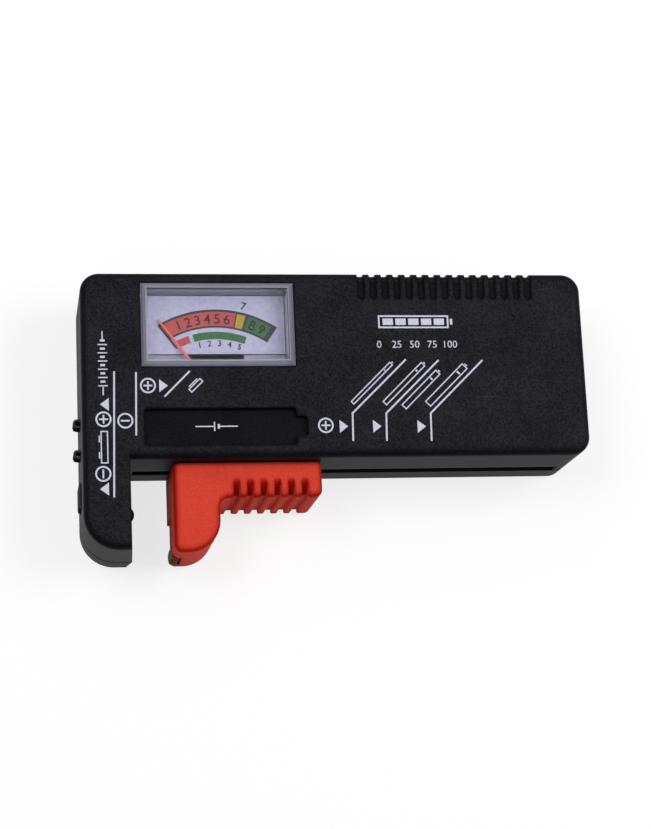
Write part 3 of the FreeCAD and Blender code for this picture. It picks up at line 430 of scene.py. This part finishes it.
@dataclass(frozen=True)
class BandedResistor:
    """Lacquered resistor body with painted value bands between tinned leads."""

    name: str = "banded_resistor_lacquer"
    lacquer: str = "#C9B283"
    bands: tuple[str, ...] = ("#6B4A2A", "#1C1C1E", "#5A3A20", "#B08A3A")
    tin: str = "#B9BBBF"
    middle_mm: float = -25.75
    body_mm: float = 6.4
    band_mm: float = 0.5
    pitch_mm: float = 1.05
    ramp: Point = (0.05, 0.95)
    coat: Point = (0.055, 0.945)
    first_band: float = 0.24
    drip_mm: float = 0.6
    gloss: Point = (0.2, 0.45)

    def material(self) -> bpy.types.Material:
        """Build the finish along the body's length.

        Returns:
            Tan lacquer with bands; past the body's ends it is dull metal.
        """
        made, tree = new_material(self.name)
        coords = add_node(tree, "ShaderNodeTexCoord").outputs["Object"]
        axes = add_node(tree, "ShaderNodeSeparateXYZ", {0: coords})
        end = (self.middle_mm + self.body_mm / 2) * MM
        along = add_node(tree, "ShaderNodeMapRange",
                         {"Value": axes.outputs["X"], "From Min": end - self.body_mm * MM,
                          "From Max": end, "To Min": self.ramp[0], "To Max": self.ramp[1]})
        per_mm = (self.ramp[1] - self.ramp[0]) / self.body_mm
        stops = {0.0: self.tin, self.coat[0]: self.lacquer, self.coat[1]: self.tin}
        for i, code in enumerate(self.bands):
            start = self.first_band + i * self.pitch_mm * per_mm
            stops[start] = code
            stops[start + self.band_mm * per_mm] = self.lacquer
        colour = add_node(tree, "ShaderNodeValToRGB", {"Fac": along.outputs[0]}, stops)
        colour.color_ramp.interpolation = "CONSTANT"
        coated = add_node(tree, "ShaderNodeMath",
                          {0: along.outputs[0], 1: sum(self.coat) / 2,
                           2: (self.coat[1] - self.coat[0]) / 2}, operation="COMPARE")
        lead = add_node(tree, "ShaderNodeMath", {0: 1.0, 1: coated.outputs[0]},
                        operation="SUBTRACT")
        drip = add_node(tree, "ShaderNodeTexNoise",
                        {"Vector": coords, "Scale": per_metre(self.drip_mm), "Detail": 2.0})
        gloss = add_node(tree, "ShaderNodeMapRange",
                         {"Value": drip.outputs["Fac"], "To Min": self.gloss[0],
                          "To Max": self.gloss[1]})
        shader = add_node(tree, "ShaderNodeBsdfPrincipled",
                          {"Base Color": colour.outputs["Color"], "Metallic": lead.outputs[0],
                           "Roughness": gloss.outputs[0]})
        add_node(tree, "ShaderNodeOutputMaterial", {"Surface": shader.outputs[0]})
        return made


Finish = MouldedPlastic | ClearCover | Paint | Metal | BandedResistor


def dress(plan: dict[Finish, tuple[str, ...]]) -> None:
    """Give nodes of the frame their finish.

    Args:
        plan: Names of the nodes that share each finish.
    """
    for finish, nodes in plan.items():
        material = finish.material()
        for node in nodes:
            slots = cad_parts[node].data.materials
            slots.clear()
            slots.append(material)
            LOG.info("%s: %s", node, material.name)


class Sign(Enum):
    """Polarity inside a round mark."""

    PLUS = "plus"
    MINUS = "minus"


@dataclass
class Sheet:
    """Flat shapes drawn in millimetres about an origin, later raised to a thin piece."""

    mesh: bmesh.types.BMesh = field(default_factory=bmesh.new)

    def bar(self, length: float, width: float, at: Point = (0.0, 0.0)) -> None:
        """Add a plain bar about a point, its length along X."""
        made = bmesh.ops.create_grid(self.mesh, x_segments=1, y_segments=1, size=0.5)["verts"]
        bmesh.ops.scale(self.mesh, verts=made, vec=(length, width, 1))
        bmesh.ops.translate(self.mesh, verts=made, vec=(*at, 0))

    def plus(self, reach: float, width: float) -> None:
        """Add a plus sign: a grid of nine without its corners."""
        made = bmesh.ops.create_grid(self.mesh, x_segments=3, y_segments=3, size=1.0)["verts"]
        corners = {f for v in made if len(v.link_faces) == 1 for f in v.link_faces}
        for vert in made:
            x, y = (math.copysign((reach if abs(c) > 0.5 else width) / 2, c)
                    for c in vert.co[:2])
            vert.co = (x, y, 0)
        bmesh.ops.delete(self.mesh, geom=list(corners), context="FACES")

    def outline(self, length: float, height: float, line: float) -> None:
        """Add the outline of a rectangle about the origin."""
        made = bmesh.ops.create_grid(self.mesh, x_segments=1, y_segments=1, size=0.5)["verts"]
        bmesh.ops.scale(self.mesh, verts=made, vec=(length, height, 1))
        face = made[0].link_faces[0]
        bmesh.ops.inset_individual(self.mesh, faces=[face], thickness=line,
                                   use_even_offset=True)
        bmesh.ops.delete(self.mesh, geom=[face], context="FACES_ONLY")

    def ring(self, radius: float, width: float) -> None:
        """Add a ring of one line width about the origin."""
        ends = [self.mesh.verts.new((radius + s * width / 2, 0, 0)) for s in (-1, 1)]
        edge = self.mesh.edges.new(ends)
        bmesh.ops.spin(self.mesh, geom=[*ends, edge], axis=(0, 0, 1), angle=math.tau,
                       steps=RING_STEPS, use_merge=True)

    def triangle(self, height: float, base: float) -> None:
        """Add a filled triangle that points along +X."""
        made = bmesh.ops.create_circle(self.mesh, cap_ends=True, segments=3,
                                       radius=1.0)["verts"]
        tip = max(made, key=lambda v: v.co.y)
        for vert in made:
            across = 0.0 if vert is tip else math.copysign(base / 2, vert.co.x)
            vert.co = (height / 2 if vert is tip else -height / 2, across, 0)

    def stroke(self, path: tuple[Point, ...], width: float) -> None:
        """Add a line of one width along a path, mitred at its knees.

        Args:
            path: Points of the line's middle.
            width: Width of the line.
        """
        points = [Vector((x, y, 0)) for x, y in path]
        steps = [(b - a).normalized() for a, b in zip(points, points[1:])]
        sides = [Vector((-s.y, s.x, 0)) for s in steps]
        knees = [(a + b) / (1 + a.dot(b)) for a, b in zip(sides, sides[1:])]
        offsets = [side * width / 2 for side in (sides[0], *knees, sides[-1])]
        pair = [self.mesh.verts.new(points[0] + offsets[0] * s) for s in (1, -1)]
        edge = self.mesh.edges.new(pair)
        for here, offset in zip(points[1:], offsets[1:]):
            grown = bmesh.ops.extrude_edge_only(self.mesh, edges=[edge])["geom"]
            edge = next(g for g in grown if isinstance(g, bmesh.types.BMEdge))
            for vert, s in zip(edge.verts, (1, -1)):
                vert.co = here + offset * s

    def sector(self, centre: Point, radii: Point, angles: Point) -> None:
        """Add a ring sector; angles are clockwise from +Y in degrees.

        Args:
            centre: Middle of the arcs.
            radii: Inner and outer radius.
            angles: First and last angle.
        """
        start = math.radians(90 - angles[0])
        ray = Vector((math.cos(start), math.sin(start), 0))
        middle = Vector((*centre, 0))
        ends = [self.mesh.verts.new(middle + ray * r) for r in radii]
        edge = self.mesh.edges.new(ends)
        steps = max(3, round(abs(angles[1] - angles[0]) / SECTOR_STEP_DEG))
        bmesh.ops.spin(self.mesh, geom=[*ends, edge], cent=middle, axis=(0, 0, 1),
                       angle=-math.radians(angles[1] - angles[0]), steps=steps)

    def trim(self, start: Point, end: Point) -> None:
        """Cut off everything on the right hand of a line from start to end."""
        run = Vector(end) - Vector(start)
        everything = [*self.mesh.verts, *self.mesh.edges, *self.mesh.faces]
        bmesh.ops.bisect_plane(self.mesh, geom=everything, plane_co=(*start, 0),
                               plane_no=(run.y, -run.x, 0), clear_outer=True)

    def number(self, text: str, height: float, weight: float) -> None:
        """Add a plain number about the origin.

        Args:
            text: Digits to draw.
            height: Height of the digits.
            weight: Growth of the strokes on each side.
        """
        curve = bpy.data.curves.new("digits", "FONT")
        curve.body = text
        curve.align_x = "CENTER"
        curve.size = height / DIGIT_SHARE
        curve.offset = weight
        curve.resolution_u = 3
        carrier = bpy.data.objects.new("digits", curve)
        bpy.context.scene.collection.objects.link(carrier)
        bpy.context.view_layer.update()
        shaped = carrier.evaluated_get(bpy.context.evaluated_depsgraph_get())
        drawn = bpy.data.meshes.new_from_object(shaped)
        bpy.data.objects.remove(carrier)
        drawn.transform(Matrix.Translation((0, -height / 2, 0)))
        self.mesh.from_mesh(drawn)
        bpy.data.meshes.remove(drawn)

    def press(self, stamp: "Sheet", at: Point, turn_deg: float = 0.0) -> None:
        """Copy a stamp's shapes to a place and let go of the stamp.

        Args:
            stamp: Sheet whose shapes are copied.
            at: Where its origin goes.
            turn_deg: Turn about its origin.
        """
        inked = bpy.data.meshes.new("stamp")
        stamp.mesh.to_mesh(inked)
        stamp.mesh.free()
        turn = Matrix.Rotation(math.radians(turn_deg), 4, "Z")
        inked.transform(Matrix.Translation((*at, 0)) @ turn)
        self.mesh.from_mesh(inked)
        bpy.data.meshes.remove(inked)

    def finish(self, name: str, plane_mm: float, proud_mm: float,
               material: bpy.types.Material) -> None:
        """Raise the shapes to a closed piece that rides on the housing.

        Args:
            name: Name of the piece.
            plane_mm: Height of the surface it is printed on.
            proud_mm: Thickness that stands above the surface.
            material: Finish of the piece.
        """
        bmesh.ops.remove_doubles(self.mesh, verts=self.mesh.verts[:], dist=WELD_MM)
        grown = bmesh.ops.extrude_face_region(self.mesh, geom=self.mesh.faces[:])["geom"]
        lifted = [g for g in grown if isinstance(g, bmesh.types.BMVert)]
        bmesh.ops.translate(self.mesh, verts=lifted, vec=(0, 0, proud_mm + SUNK_MM))
        bmesh.ops.translate(self.mesh, verts=self.mesh.verts[:], vec=(0, 0, plane_mm - SUNK_MM))
        bmesh.ops.scale(self.mesh, verts=self.mesh.verts[:], vec=(MM, MM, MM))
        bmesh.ops.recalc_face_normals(self.mesh, faces=self.mesh.faces[:])
        data = bpy.data.meshes.new(name)
        self.mesh.to_mesh(data)
        self.mesh.free()
        data.materials.append(material)
        piece = bpy.data.objects.new(name, data)
        bpy.context.scene.collection.objects.link(piece)
        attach(piece, "housing")
        LOG.info("%s: %d faces", name, len(data.polygons))


@dataclass
class CaseDress:
    """The two black shells."""

    # Spark-eroded black ABS: nearly matt with a fine sparkle, with painted shade along its edge
    # radii and in two sunk beds.
    shell: MouldedPlastic = MouldedPlastic(
        "black_abs_spark_grain", "#121216", "#26262C", 0.48, 0.028, "#44444A",
        grain_mm=0.36, grain_depth_mm=0.02, edge_mm=1.1, radius_tint="#A0A0A0",
        beds=(((-24.6, -4.2, 23.8), (34.9, 8.1, 0.6)), ((24.4, 25.85, 24.5), (39.0, 4.3, 0.6))))

    def build(self) -> None:
        """Dress the shells."""
        dress({self.shell: ("front_shell", "rear_shell")})


@dataclass
class FacePrint:
    """White pad print on the case front and in the label bed."""

    # Pad-printed white: a thin coat that the black below turns slightly grey.
    ink: Paint = Paint("white_pad_print", "#B0B0C0", "#C8C8D8", 0.55, cloud_mm=0.35)
    ink_mm: float = 0.02
    face_mm: float = 25.0
    bed_mm: float = 23.8
    line_mm: float = 0.38
    fine_mm: float = 0.26
    plate_gap_mm: float = 0.9
    label_edge_mm: float = 2.2
    cell_nub: float = 0.4
    gauge_nub: float = 0.45
    gauge_line: float = 1.4
    cap_share: float = 0.7
    snap_share: float = 0.2
    mark_ring: Point = (1.5, 0.37)
    mark_sign: Point = (1.9, 0.36)
    arrow: Point = (1.85, 2.8)
    plus_marks: tuple[Point, ...] = ((-50.55, -2.45), (-41.05, 4.8), (-3.35, -4.15))
    minus_marks: tuple[tuple[Point, float], ...] = (((-45.98, -2.8), 0.0), ((-50.8, -14.15), 90.0))
    side_arrows: tuple[Point, ...] = ((-50.3, 0.77), (-50.6, -17.4))
    cell_arrows: tuple[Point, ...] = ((-37.75, 4.75), (0.55, -4.4), (7.8, -4.45), (17.5, -4.55))
    lines: tuple[tuple[Point, ...], ...] = (
        ((-48.64, -19.18), (-48.13, 7.95)),
        ((-43.76, -6.0), (-43.51, 7.75)),
        ((-37.6, 2.38), (-32.1, 7.95)),
        ((2.42, -7.6), (2.56, -1.52), (14.78, 10.35)),
        ((9.73, -7.65), (9.89, -1.58), (22.0, 10.17)),
        ((19.5, -7.75), (19.62, -1.65), (31.73, 10.13)))
    cell_turn: float = 44.4
    cells: tuple[tuple[Point, Point], ...] = (
        ((7.08, 5.09), (12.6, 1.05)),
        ((14.1, 4.95), (12.6, 1.3)),
        ((17.78, 3.63), (11.2, 1.5)),
        ((23.43, 4.6), (12.2, 1.75)))
    button_at: Point = (-30.9, 4.8)
    button_size: Point = (3.6, 1.1)
    block_at: Point = (-50.45, -8.45)
    block_size: Point = (7.0, 1.6)
    chain_at: Point = (-50.5, 9.75)
    chain_size: Point = (14.0, 2.0)
    chain_cells: int = 6
    label_at: Point = (-26.6, -3.9)
    label_size: Point = (9.0, 2.0)
    gauge_at: Point = (16.9, 18.8)
    gauge_size: Point = (15.6, 2.9)
    gauge_steps: tuple[str, ...] = ("0", "25", "50", "75", "100")
    step_at: Point = (9.1, 13.75)
    step_pitch_mm: float = 3.9
    step_height_mm: float = 1.6
    step_weight_mm: float = 0.02

    def build(self) -> None:
        """Draw the lines, marks, arrows and pictures and raise them."""
        ink = self.ink.material()
        face = Sheet()
        for path in self.lines:
            face.stroke(path, self.line_mm)
        for at in self.plus_marks:
            face.press(self.mark(Sign.PLUS), at)
        for at, turn in self.minus_marks:
            face.press(self.mark(Sign.MINUS), at, turn)
        for turn, spots in ((180.0, self.side_arrows), (0.0, self.cell_arrows)):
            for at in spots:
                head = Sheet()
                head.triangle(*self.arrow)
                face.press(head, at, turn)
        for at, size in self.cells:
            face.press(self.cell(*size), at, self.cell_turn)
        face.press(self.button(*self.button_size), self.button_at, self.cell_turn)
        face.press(self.block(*self.block_size), self.block_at, 90.0)
        face.press(self.chain(*self.chain_size, self.chain_cells), self.chain_at, 90.0)
        face.press(self.gauge(*self.gauge_size, len(self.gauge_steps)), self.gauge_at)
        for i, text in enumerate(self.gauge_steps):
            step = Sheet()
            step.number(text, self.step_height_mm, self.step_weight_mm)
            face.press(step, (self.step_at[0] + self.step_pitch_mm * i, self.step_at[1]))
        face.finish("face_print", self.face_mm, self.ink_mm, ink)
        label = Sheet()
        label.press(self.chain(*self.label_size, 1), self.label_at)
        label.finish("label_print", self.bed_mm, self.ink_mm, ink)

    def mark(self, sign: Sign) -> Sheet:
        """Draw a round polarity mark."""
        made = Sheet()
        made.ring(*self.mark_ring)
        if sign is Sign.PLUS:
            made.plus(*self.mark_sign)
        else:
            made.bar(*self.mark_sign)
        return made

    def cell(self, length: float, height: float) -> Sheet:
        """Draw a round cell from the side: body outline, label edge and end nub."""
        made = Sheet()
        line = self.fine_mm
        made.outline(length, height, line)
        made.bar(1.6 * line, height - 3.4 * line, (length / 2 - self.label_edge_mm, 0.0))
        made.bar(line, height * self.cell_nub, (length / 2 + line, 0.0))
        return made

    def button(self, length: float, height: float) -> Sheet:
        """Draw a button cell from the side: can and cap."""
        made = Sheet()
        made.outline(length, height, self.fine_mm)
        made.bar(length * self.cap_share, self.fine_mm, (0.0, height / 2 + self.fine_mm))
        return made

    def block(self, length: float, height: float) -> Sheet:
        """Draw a block battery from the side: body outline and two snaps."""
        made = Sheet()
        made.outline(length, height, self.fine_mm)
        for s in (-1, 1):
            made.bar(length * self.snap_share, self.fine_mm,
                     (s * length / 4, height / 2 + self.fine_mm))
        return made

    def chain(self, length: float, height: float, count: int) -> Sheet:
        """Draw the circuit sign of cells in a row between two leads.

        Args:
            length: Length over the leads.
            height: Height of the long plates.
            count: Number of cells.

        Returns:
            Pairs of a long thin and a short thick plate.
        """
        made = Sheet()
        line = self.fine_mm
        gap = self.plate_gap_mm
        for i in range(count):
            at = 2 * gap * (i - (count - 1) / 2)
            made.bar(line, height, (at - gap / 2, 0.0))
            made.bar(1.8 * line, height * 0.5, (at + gap / 2, 0.0))
        start = (2 * count - 1) * gap / 2 + 0.9 * line
        for s in (-1, 1):
            made.bar(length / 2 - start, line, (s * (length / 2 + start) / 2, 0.0))
        return made

    def gauge(self, length: float, height: float, count: int) -> Sheet:
        """Draw a charge gauge: a cell outline that holds a row of bars.

        Args:
            length: Length of the outline.
            height: Height of the outline.
            count: Number of bars.

        Returns:
            The outline with its nub and bars.
        """
        made = Sheet()
        line = self.fine_mm * self.gauge_line
        made.outline(length, height, line)
        made.bar(1.5 * line, height * self.gauge_nub, (length / 2 + 1.6 * line, 0.0))
        pitch = (length - 4 * line) / count
        for i in range(count):
            made.bar(pitch - 1.5 * line, height - 4 * line, ((i - (count - 1) / 2) * pitch, 0.0))
        return made


@dataclass
class MeterDress:
    """Cover, scale, needle and tray of the moving-coil meter."""

    # Clear polystyrene: a glossy pane that shows the scale, in a hazy rim with painted bands of
    # light and shade.
    cover: ClearCover = ClearCover()
    # Sprayed scale paint: matt and even, a cool white under the cover.
    scale: Paint = Paint("scale_paint_lavender_white", "#9190A5", "#9F9EB3", 0.6, cloud_mm=1.2)
    # Moulded ABS, painted a mid grey that stands in for the shade on its walls under the cover,
    # with a soft sheen round the scale.
    tray: MouldedPlastic = MouldedPlastic("tray_abs_painted_shade", "#777782", "#878792", 0.5, 0.4,
                                          "#B4B4BE")
    # Dipped enamel: a smooth light red that stands out from the scale.
    needle: Paint = Paint("red_needle_enamel", "#C04842", "#D0645E", 0.4, cloud_mm=0.4)
    # Screen-printed inks: flat colours, slightly uneven in their cover.
    red: Paint = Paint("red_scale_ink", "#902C2E", "#9E3C3A", 0.6)
    yellow: Paint = Paint("yellow_scale_ink", "#8C7212", "#9C801A", 0.6)
    green: Paint = Paint("green_scale_ink", "#124C1A", "#1E5C24", 0.6)
    black: Paint = Paint("black_scale_ink", "#16161A", "#24242A", 0.6)
    dial_mm: float = 19.6
    outline_ink_mm: float = 0.02
    colour_ink_mm: float = 0.035
    number_ink_mm: float = 0.05
    centre: Point = (-25.78, -1.12)
    band: Point = (20.0, 24.1)
    colour_band: Point = (20.42, 23.56)
    low_band: Point = (17.42, 19.08)
    band_span: Point = (-36.0, 33.8)
    stop_line: tuple[Point, Point] = ((-38.09, 19.27), (-34.25, 14.18))
    stop_line_mm: float = 0.4
    red_end: float = 11.0
    yellow_span: Point = (11.8, 16.3)
    green_span: Point = (17.9, 30.9)
    low_red: Point = (-27.3, -18.0)
    low_green: Point = (-15.5, 20.7)
    digit_mm: float = 2.15
    red_digits: Point = (-27.0, 5.6)
    green_digits: Point = (21.4, 27.2)
    outer_digit: tuple[float, float, float] = (25.6, 14.0, 1.65)
    low_digit_radius: float = 16.5
    low_digits: Point = (-20.0, 7.6)
    low_digit_mm: float = 1.25
    digit_weight_mm: float = 0.03

    def on_arc(self, radius: float, angle_deg: float) -> Point:
        """Give a point of the scale by radius and angle from +Y."""
        a = math.radians(angle_deg)
        return (self.centre[0] + radius * math.sin(a), self.centre[1] + radius * math.cos(a))

    def build(self) -> None:
        """Dress the meter's nodes and print its scale."""
        dress({self.cover: ("meter_lens",), self.scale: ("dial_plate",),
               self.tray: ("meter_case", "movement_cup"), self.needle: ("pointer",)})
        black = self.black.material()
        self.bands(black)
        self.numbers(black)

    def bands(self, black: bpy.types.Material) -> None:
        """Print the upper and lower bands; their left end follows the needle at rest.

        Args:
            black: Ink of the outline.
        """
        outline = Sheet()
        outline.sector(self.centre, self.band, self.band_span)
        outline.trim(*self.stop_line)
        outline.finish("scale_outline", self.dial_mm, self.outline_ink_mm, black)
        red = Sheet()
        red.sector(self.centre, self.colour_band, (self.band_span[0], self.red_end))
        red.trim(*self.stop_line)
        red.sector(self.centre, self.low_band, self.low_red)
        yellow = Sheet()
        yellow.sector(self.centre, self.colour_band, self.yellow_span)
        green = Sheet()
        green.sector(self.centre, self.colour_band, self.green_span)
        green.sector(self.centre, self.low_band, self.low_green)
        for name, sheet, ink in (("scale_red", red, self.red),
                                 ("scale_yellow", yellow, self.yellow),
                                 ("scale_green", green, self.green)):
            sheet.finish(name, self.dial_mm, self.colour_ink_mm, ink.material())

    def numbers(self, black: bpy.types.Material) -> None:
        """Print the stop line and plain numbers on the bands and under the lower arc.

        Args:
            black: Ink of the line and numbers.
        """
        art = Sheet()
        art.stroke(self.stop_line, self.stop_line_mm)
        middle = sum(self.colour_band) / 2
        start, pitch = self.red_digits
        marks = [(str(i), middle, start + pitch * i, self.digit_mm) for i in range(1, 7)]
        marks.append(("7", *self.outer_digit))
        marks += [(str(i), middle, angle, self.digit_mm)
                  for i, angle in enumerate(self.green_digits, 8)]
        start, pitch = self.low_digits
        marks += [(str(i), self.low_digit_radius, start + pitch * i, self.low_digit_mm)
                  for i in range(1, 6)]
        for text, radius, angle, height in marks:
            digit = Sheet()
            digit.number(text, height, self.digit_weight_mm)
            art.press(digit, self.on_arc(radius, angle), -angle)
        art.finish("scale_numbers", self.dial_mm, self.number_ink_mm, black)


@dataclass
class SliderDress:
    """Red sliding jaw and its return spring."""

    # Fine-grained red ABS: matt and saturated, with a deeper red painted along its edges as shade.
    arm: MouldedPlastic = MouldedPlastic("red_abs_fine_grain", "#C23828", "#D44838", 0.6, 0.012,
                                         "#D86A5A", edge_mm=1.6, radius_tint="#CC7060")
    # Drawn spring steel: mid grey with a soft shine on each turn.
    spring: Metal = Metal("music_wire", "#7E8086", "#B6B8BE", 0.3)

    def build(self) -> None:
        """Dress the sliding jaw."""
        dress({self.arm: ("slider_arm",), self.spring: ("slider_spring",)})


@dataclass
class MetalDress:
    """Contacts, screws and the metal pieces of the movement."""

    # Nickel plate, painted a dark grey that stands in for the dark reflection it shows, with
    # upright rolling marks.
    nickel: Metal = Metal("nickel_strip_painted_dark", "#262422", "#4C4A46", 0.36, Lay.UPRIGHT,
                          edge_tint="#5A5854")
    # Nickel plate of the sliding jaw: the same marks in a lighter grey, still painted dark to
    # stand in for the dark reflection it shows.
    bright: Metal = Metal("light_nickel_strip_painted_dark", "#46443F", "#6A6862", 0.34, Lay.UPRIGHT,
                          edge_tint="#86847E")
    # Zinc plate: a pale, slightly blue grey.
    steel: Metal = Metal("zinc_plated_steel", "#8C8F96", "#C9CCD2", 0.32)
    # Turned brass: warm yellow with fine tool marks.
    brass: Metal = Metal("turned_brass", "#A8843A", "#D6B662", 0.3)
    # Annealed iron and ground magnet alloy: quiet dark greys.
    iron: Metal = Metal("soft_iron", "#5C5E62", "#8A8C90", 0.42)
    magnet: Metal = Metal("ground_magnet_alloy", "#4C4C50", "#77777C", 0.38)
    # Rolled aluminium: the lightest grey in the movement.
    aluminium: Metal = Metal("light_aluminium", "#A9ABAF", "#D9DBDF", 0.35)
    # Enamelled copper wire: red-brown lines along the winding.
    copper: Metal = Metal("enamelled_copper_wire", "#8C4A26", "#C0713E", 0.35, Lay.ALONG)
    # Rolled spring bronze: yellow-brown with a soft shine.
    bronze: Metal = Metal("spring_bronze", "#9A7440", "#C79A5C", 0.33)

    def build(self) -> None:
        """Dress the metal pieces."""
        dress({self.nickel: ("positive_clip", "negative_strip", "jaw_rivet"),
               self.bright: ("slider_contact",),
               self.steel: ("case_screws", "pivot_shafts"),
               self.brass: ("upper_bridge", "jewel_screws", "balance_weight", "meter_terminals",
                            "core_spacers", "contact_rail"),
               self.iron: ("yoke_ring",),
               self.magnet: ("core_magnet",),
               self.aluminium: ("coil_former",),
               self.copper: ("coil_winding",),
               self.bronze: ("upper_hairspring", "lower_hairspring")})


@dataclass
class WiringDress:
    """Resistors and hook-up wires inside the case."""

    # Baked lacquer: glossy tan with painted bands, between dull tinned leads.
    resistor: BandedResistor = BandedResistor()
    # Extruded PVC sleeve: an even colour with a soft gloss.
    red: Paint = Paint("red_wire_sleeve", "#A82A22", "#C23A30", 0.5)
    black: Paint = Paint("black_wire_sleeve", "#141416", "#222226", 0.5)

    def build(self) -> None:
        """Dress the resistors and wires."""
        dress({self.resistor: ("load_resistor", "dropper_resistor"),
               self.red: ("wire_positive", "wire_rail"),
               self.black: ("wire_negative",)})


@dataclass(frozen=True)
class Softbox:
    """Square area lamp that faces the object."""

    name: str
    place: Spot
    size: float
    watts: float

    def build(self) -> None:
        """Hang the lamp."""
        data = bpy.data.lights.new(self.name, "AREA")
        data.shape = "SQUARE"
        data.size = self.size
        data.energy = self.watts
        lamp = bpy.data.objects.new(self.name, data)
        lamp.location = self.place
        lamp.rotation_euler = (-Vector(self.place)).to_track_quat("-Z", "Y").to_euler()
        bpy.context.scene.collection.objects.link(lamp)


@dataclass
class Studio:
    """Pale floor, soft lamps, world and camera."""

    floor_m: float = 4.0
    paper: str = "#FAFAFA"
    white_share: float = 0.75
    horizon: float = 0.10
    zenith: float = 0.32
    zenith_from: float = 0.7
    lamps: tuple[Softbox, ...] = (
        Softbox("left_softbox", (-0.38, 0.12, 0.70), 0.36, 2.4),
        Softbox("right_softbox", (0.46, 0.06, 0.66), 0.38, 3.4),
        Softbox("back_softbox", (-0.24, 0.52, 0.66), 0.45, 0.9))
    camera_mm: Spot = (-73.12, -103.24, 452.96)
    right: Spot = (0.98761, -0.04328, 0.15081)
    up: Spot = (0.00723, 0.97273, 0.23181)
    back: Spot = (-0.15673, -0.22785, 0.96100)
    lens_mm: float = 90.55
    sensor_mm: float = 36.0
    clip_m: float = 0.01

    def build(self) -> None:
        """Set up the floor, light and camera."""
        self.floor()
        self.world()
        for lamp in self.lamps:
            lamp.build()
        self.camera()
        bpy.context.scene.view_settings.view_transform = "Standard"

    def floor(self) -> None:
        """Lay a matt pale floor that keeps the shadow under a white background."""
        # Matt paper: it has no gloss, so only the soft shadow is seen on it.
        made, tree = new_material("studio_paper")
        path = add_node(tree, "ShaderNodeLightPath").outputs
        seen = add_node(tree, "ShaderNodeMath",
                        {0: path["Is Camera Ray"], 1: path["Is Glossy Ray"]}, operation="MAXIMUM")
        shown = add_node(tree, "ShaderNodeMath",
                         {0: seen.outputs[0], 1: path["Is Transmission Ray"]},
                         operation="MAXIMUM")
        share = add_node(tree, "ShaderNodeMath", {0: shown.outputs[0], 1: self.white_share},
                         operation="MULTIPLY")
        matt = add_node(tree, "ShaderNodeBsdfDiffuse", {"Color": srgb(self.paper)})
        white = add_node(tree, "ShaderNodeEmission", {"Color": srgb(WHITE), "Strength": 1.0})
        mix = add_node(tree, "ShaderNodeMixShader",
                       {0: share.outputs[0], 1: matt.outputs[0], 2: white.outputs[0]})
        add_node(tree, "ShaderNodeOutputMaterial", {"Surface": mix.outputs[0]})
        sheet = bmesh.new()
        bmesh.ops.create_grid(sheet, x_segments=1, y_segments=1, size=self.floor_m)
        data = bpy.data.meshes.new("studio_floor")
        sheet.to_mesh(data)
        sheet.free()
        data.materials.append(made)
        floor = bpy.data.objects.new("studio_floor", data)
        bpy.context.scene.collection.objects.link(floor)

    def world(self) -> None:
        """Fill the surroundings with soft light that fades from overhead to the horizon."""
        made = bpy.data.worlds.new("studio_world")
        made.use_nodes = True
        tree = made.node_tree
        tree.nodes.clear()
        way = add_node(tree, "ShaderNodeTexCoord")
        axes = add_node(tree, "ShaderNodeSeparateXYZ", {0: way.outputs["Generated"]})
        level = add_node(tree, "ShaderNodeMapRange",
                         {"Value": axes.outputs["Z"], "From Max": self.zenith_from,
                          "To Min": self.horizon, "To Max": self.zenith})
        light = add_node(tree, "ShaderNodeBackground",
                         {"Color": srgb(WHITE), "Strength": level.outputs[0]})
        add_node(tree, "ShaderNodeOutputWorld", {"Surface": light.outputs[0]})
        bpy.context.scene.world = made

    def camera(self) -> None:
        """Stand the camera where the photograph was taken from."""
        data = bpy.data.cameras.new("photo_camera")
        data.lens = self.lens_mm
        data.sensor_width = self.sensor_mm
        data.clip_start = self.clip_m
        camera = bpy.data.objects.new("photo_camera", data)
        turn = Matrix((self.right, self.up, self.back)).transposed().to_4x4()
        camera.matrix_world = Matrix.Translation(Vector(self.camera_mm) * MM) @ turn
        bpy.context.scene.collection.objects.link(camera)
        bpy.context.scene.camera = camera


def main() -> None:
    """Dress the tester, print its face and set the studio."""
    logging.basicConfig(level=logging.INFO, format="%(name)s: %(message)s")
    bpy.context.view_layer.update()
    for part in (CaseDress(), FacePrint(), MeterDress(), SliderDress(), MetalDress(),
                 WiringDress(), Studio()):
        part.build()


if __name__ == "__main__":
    main()
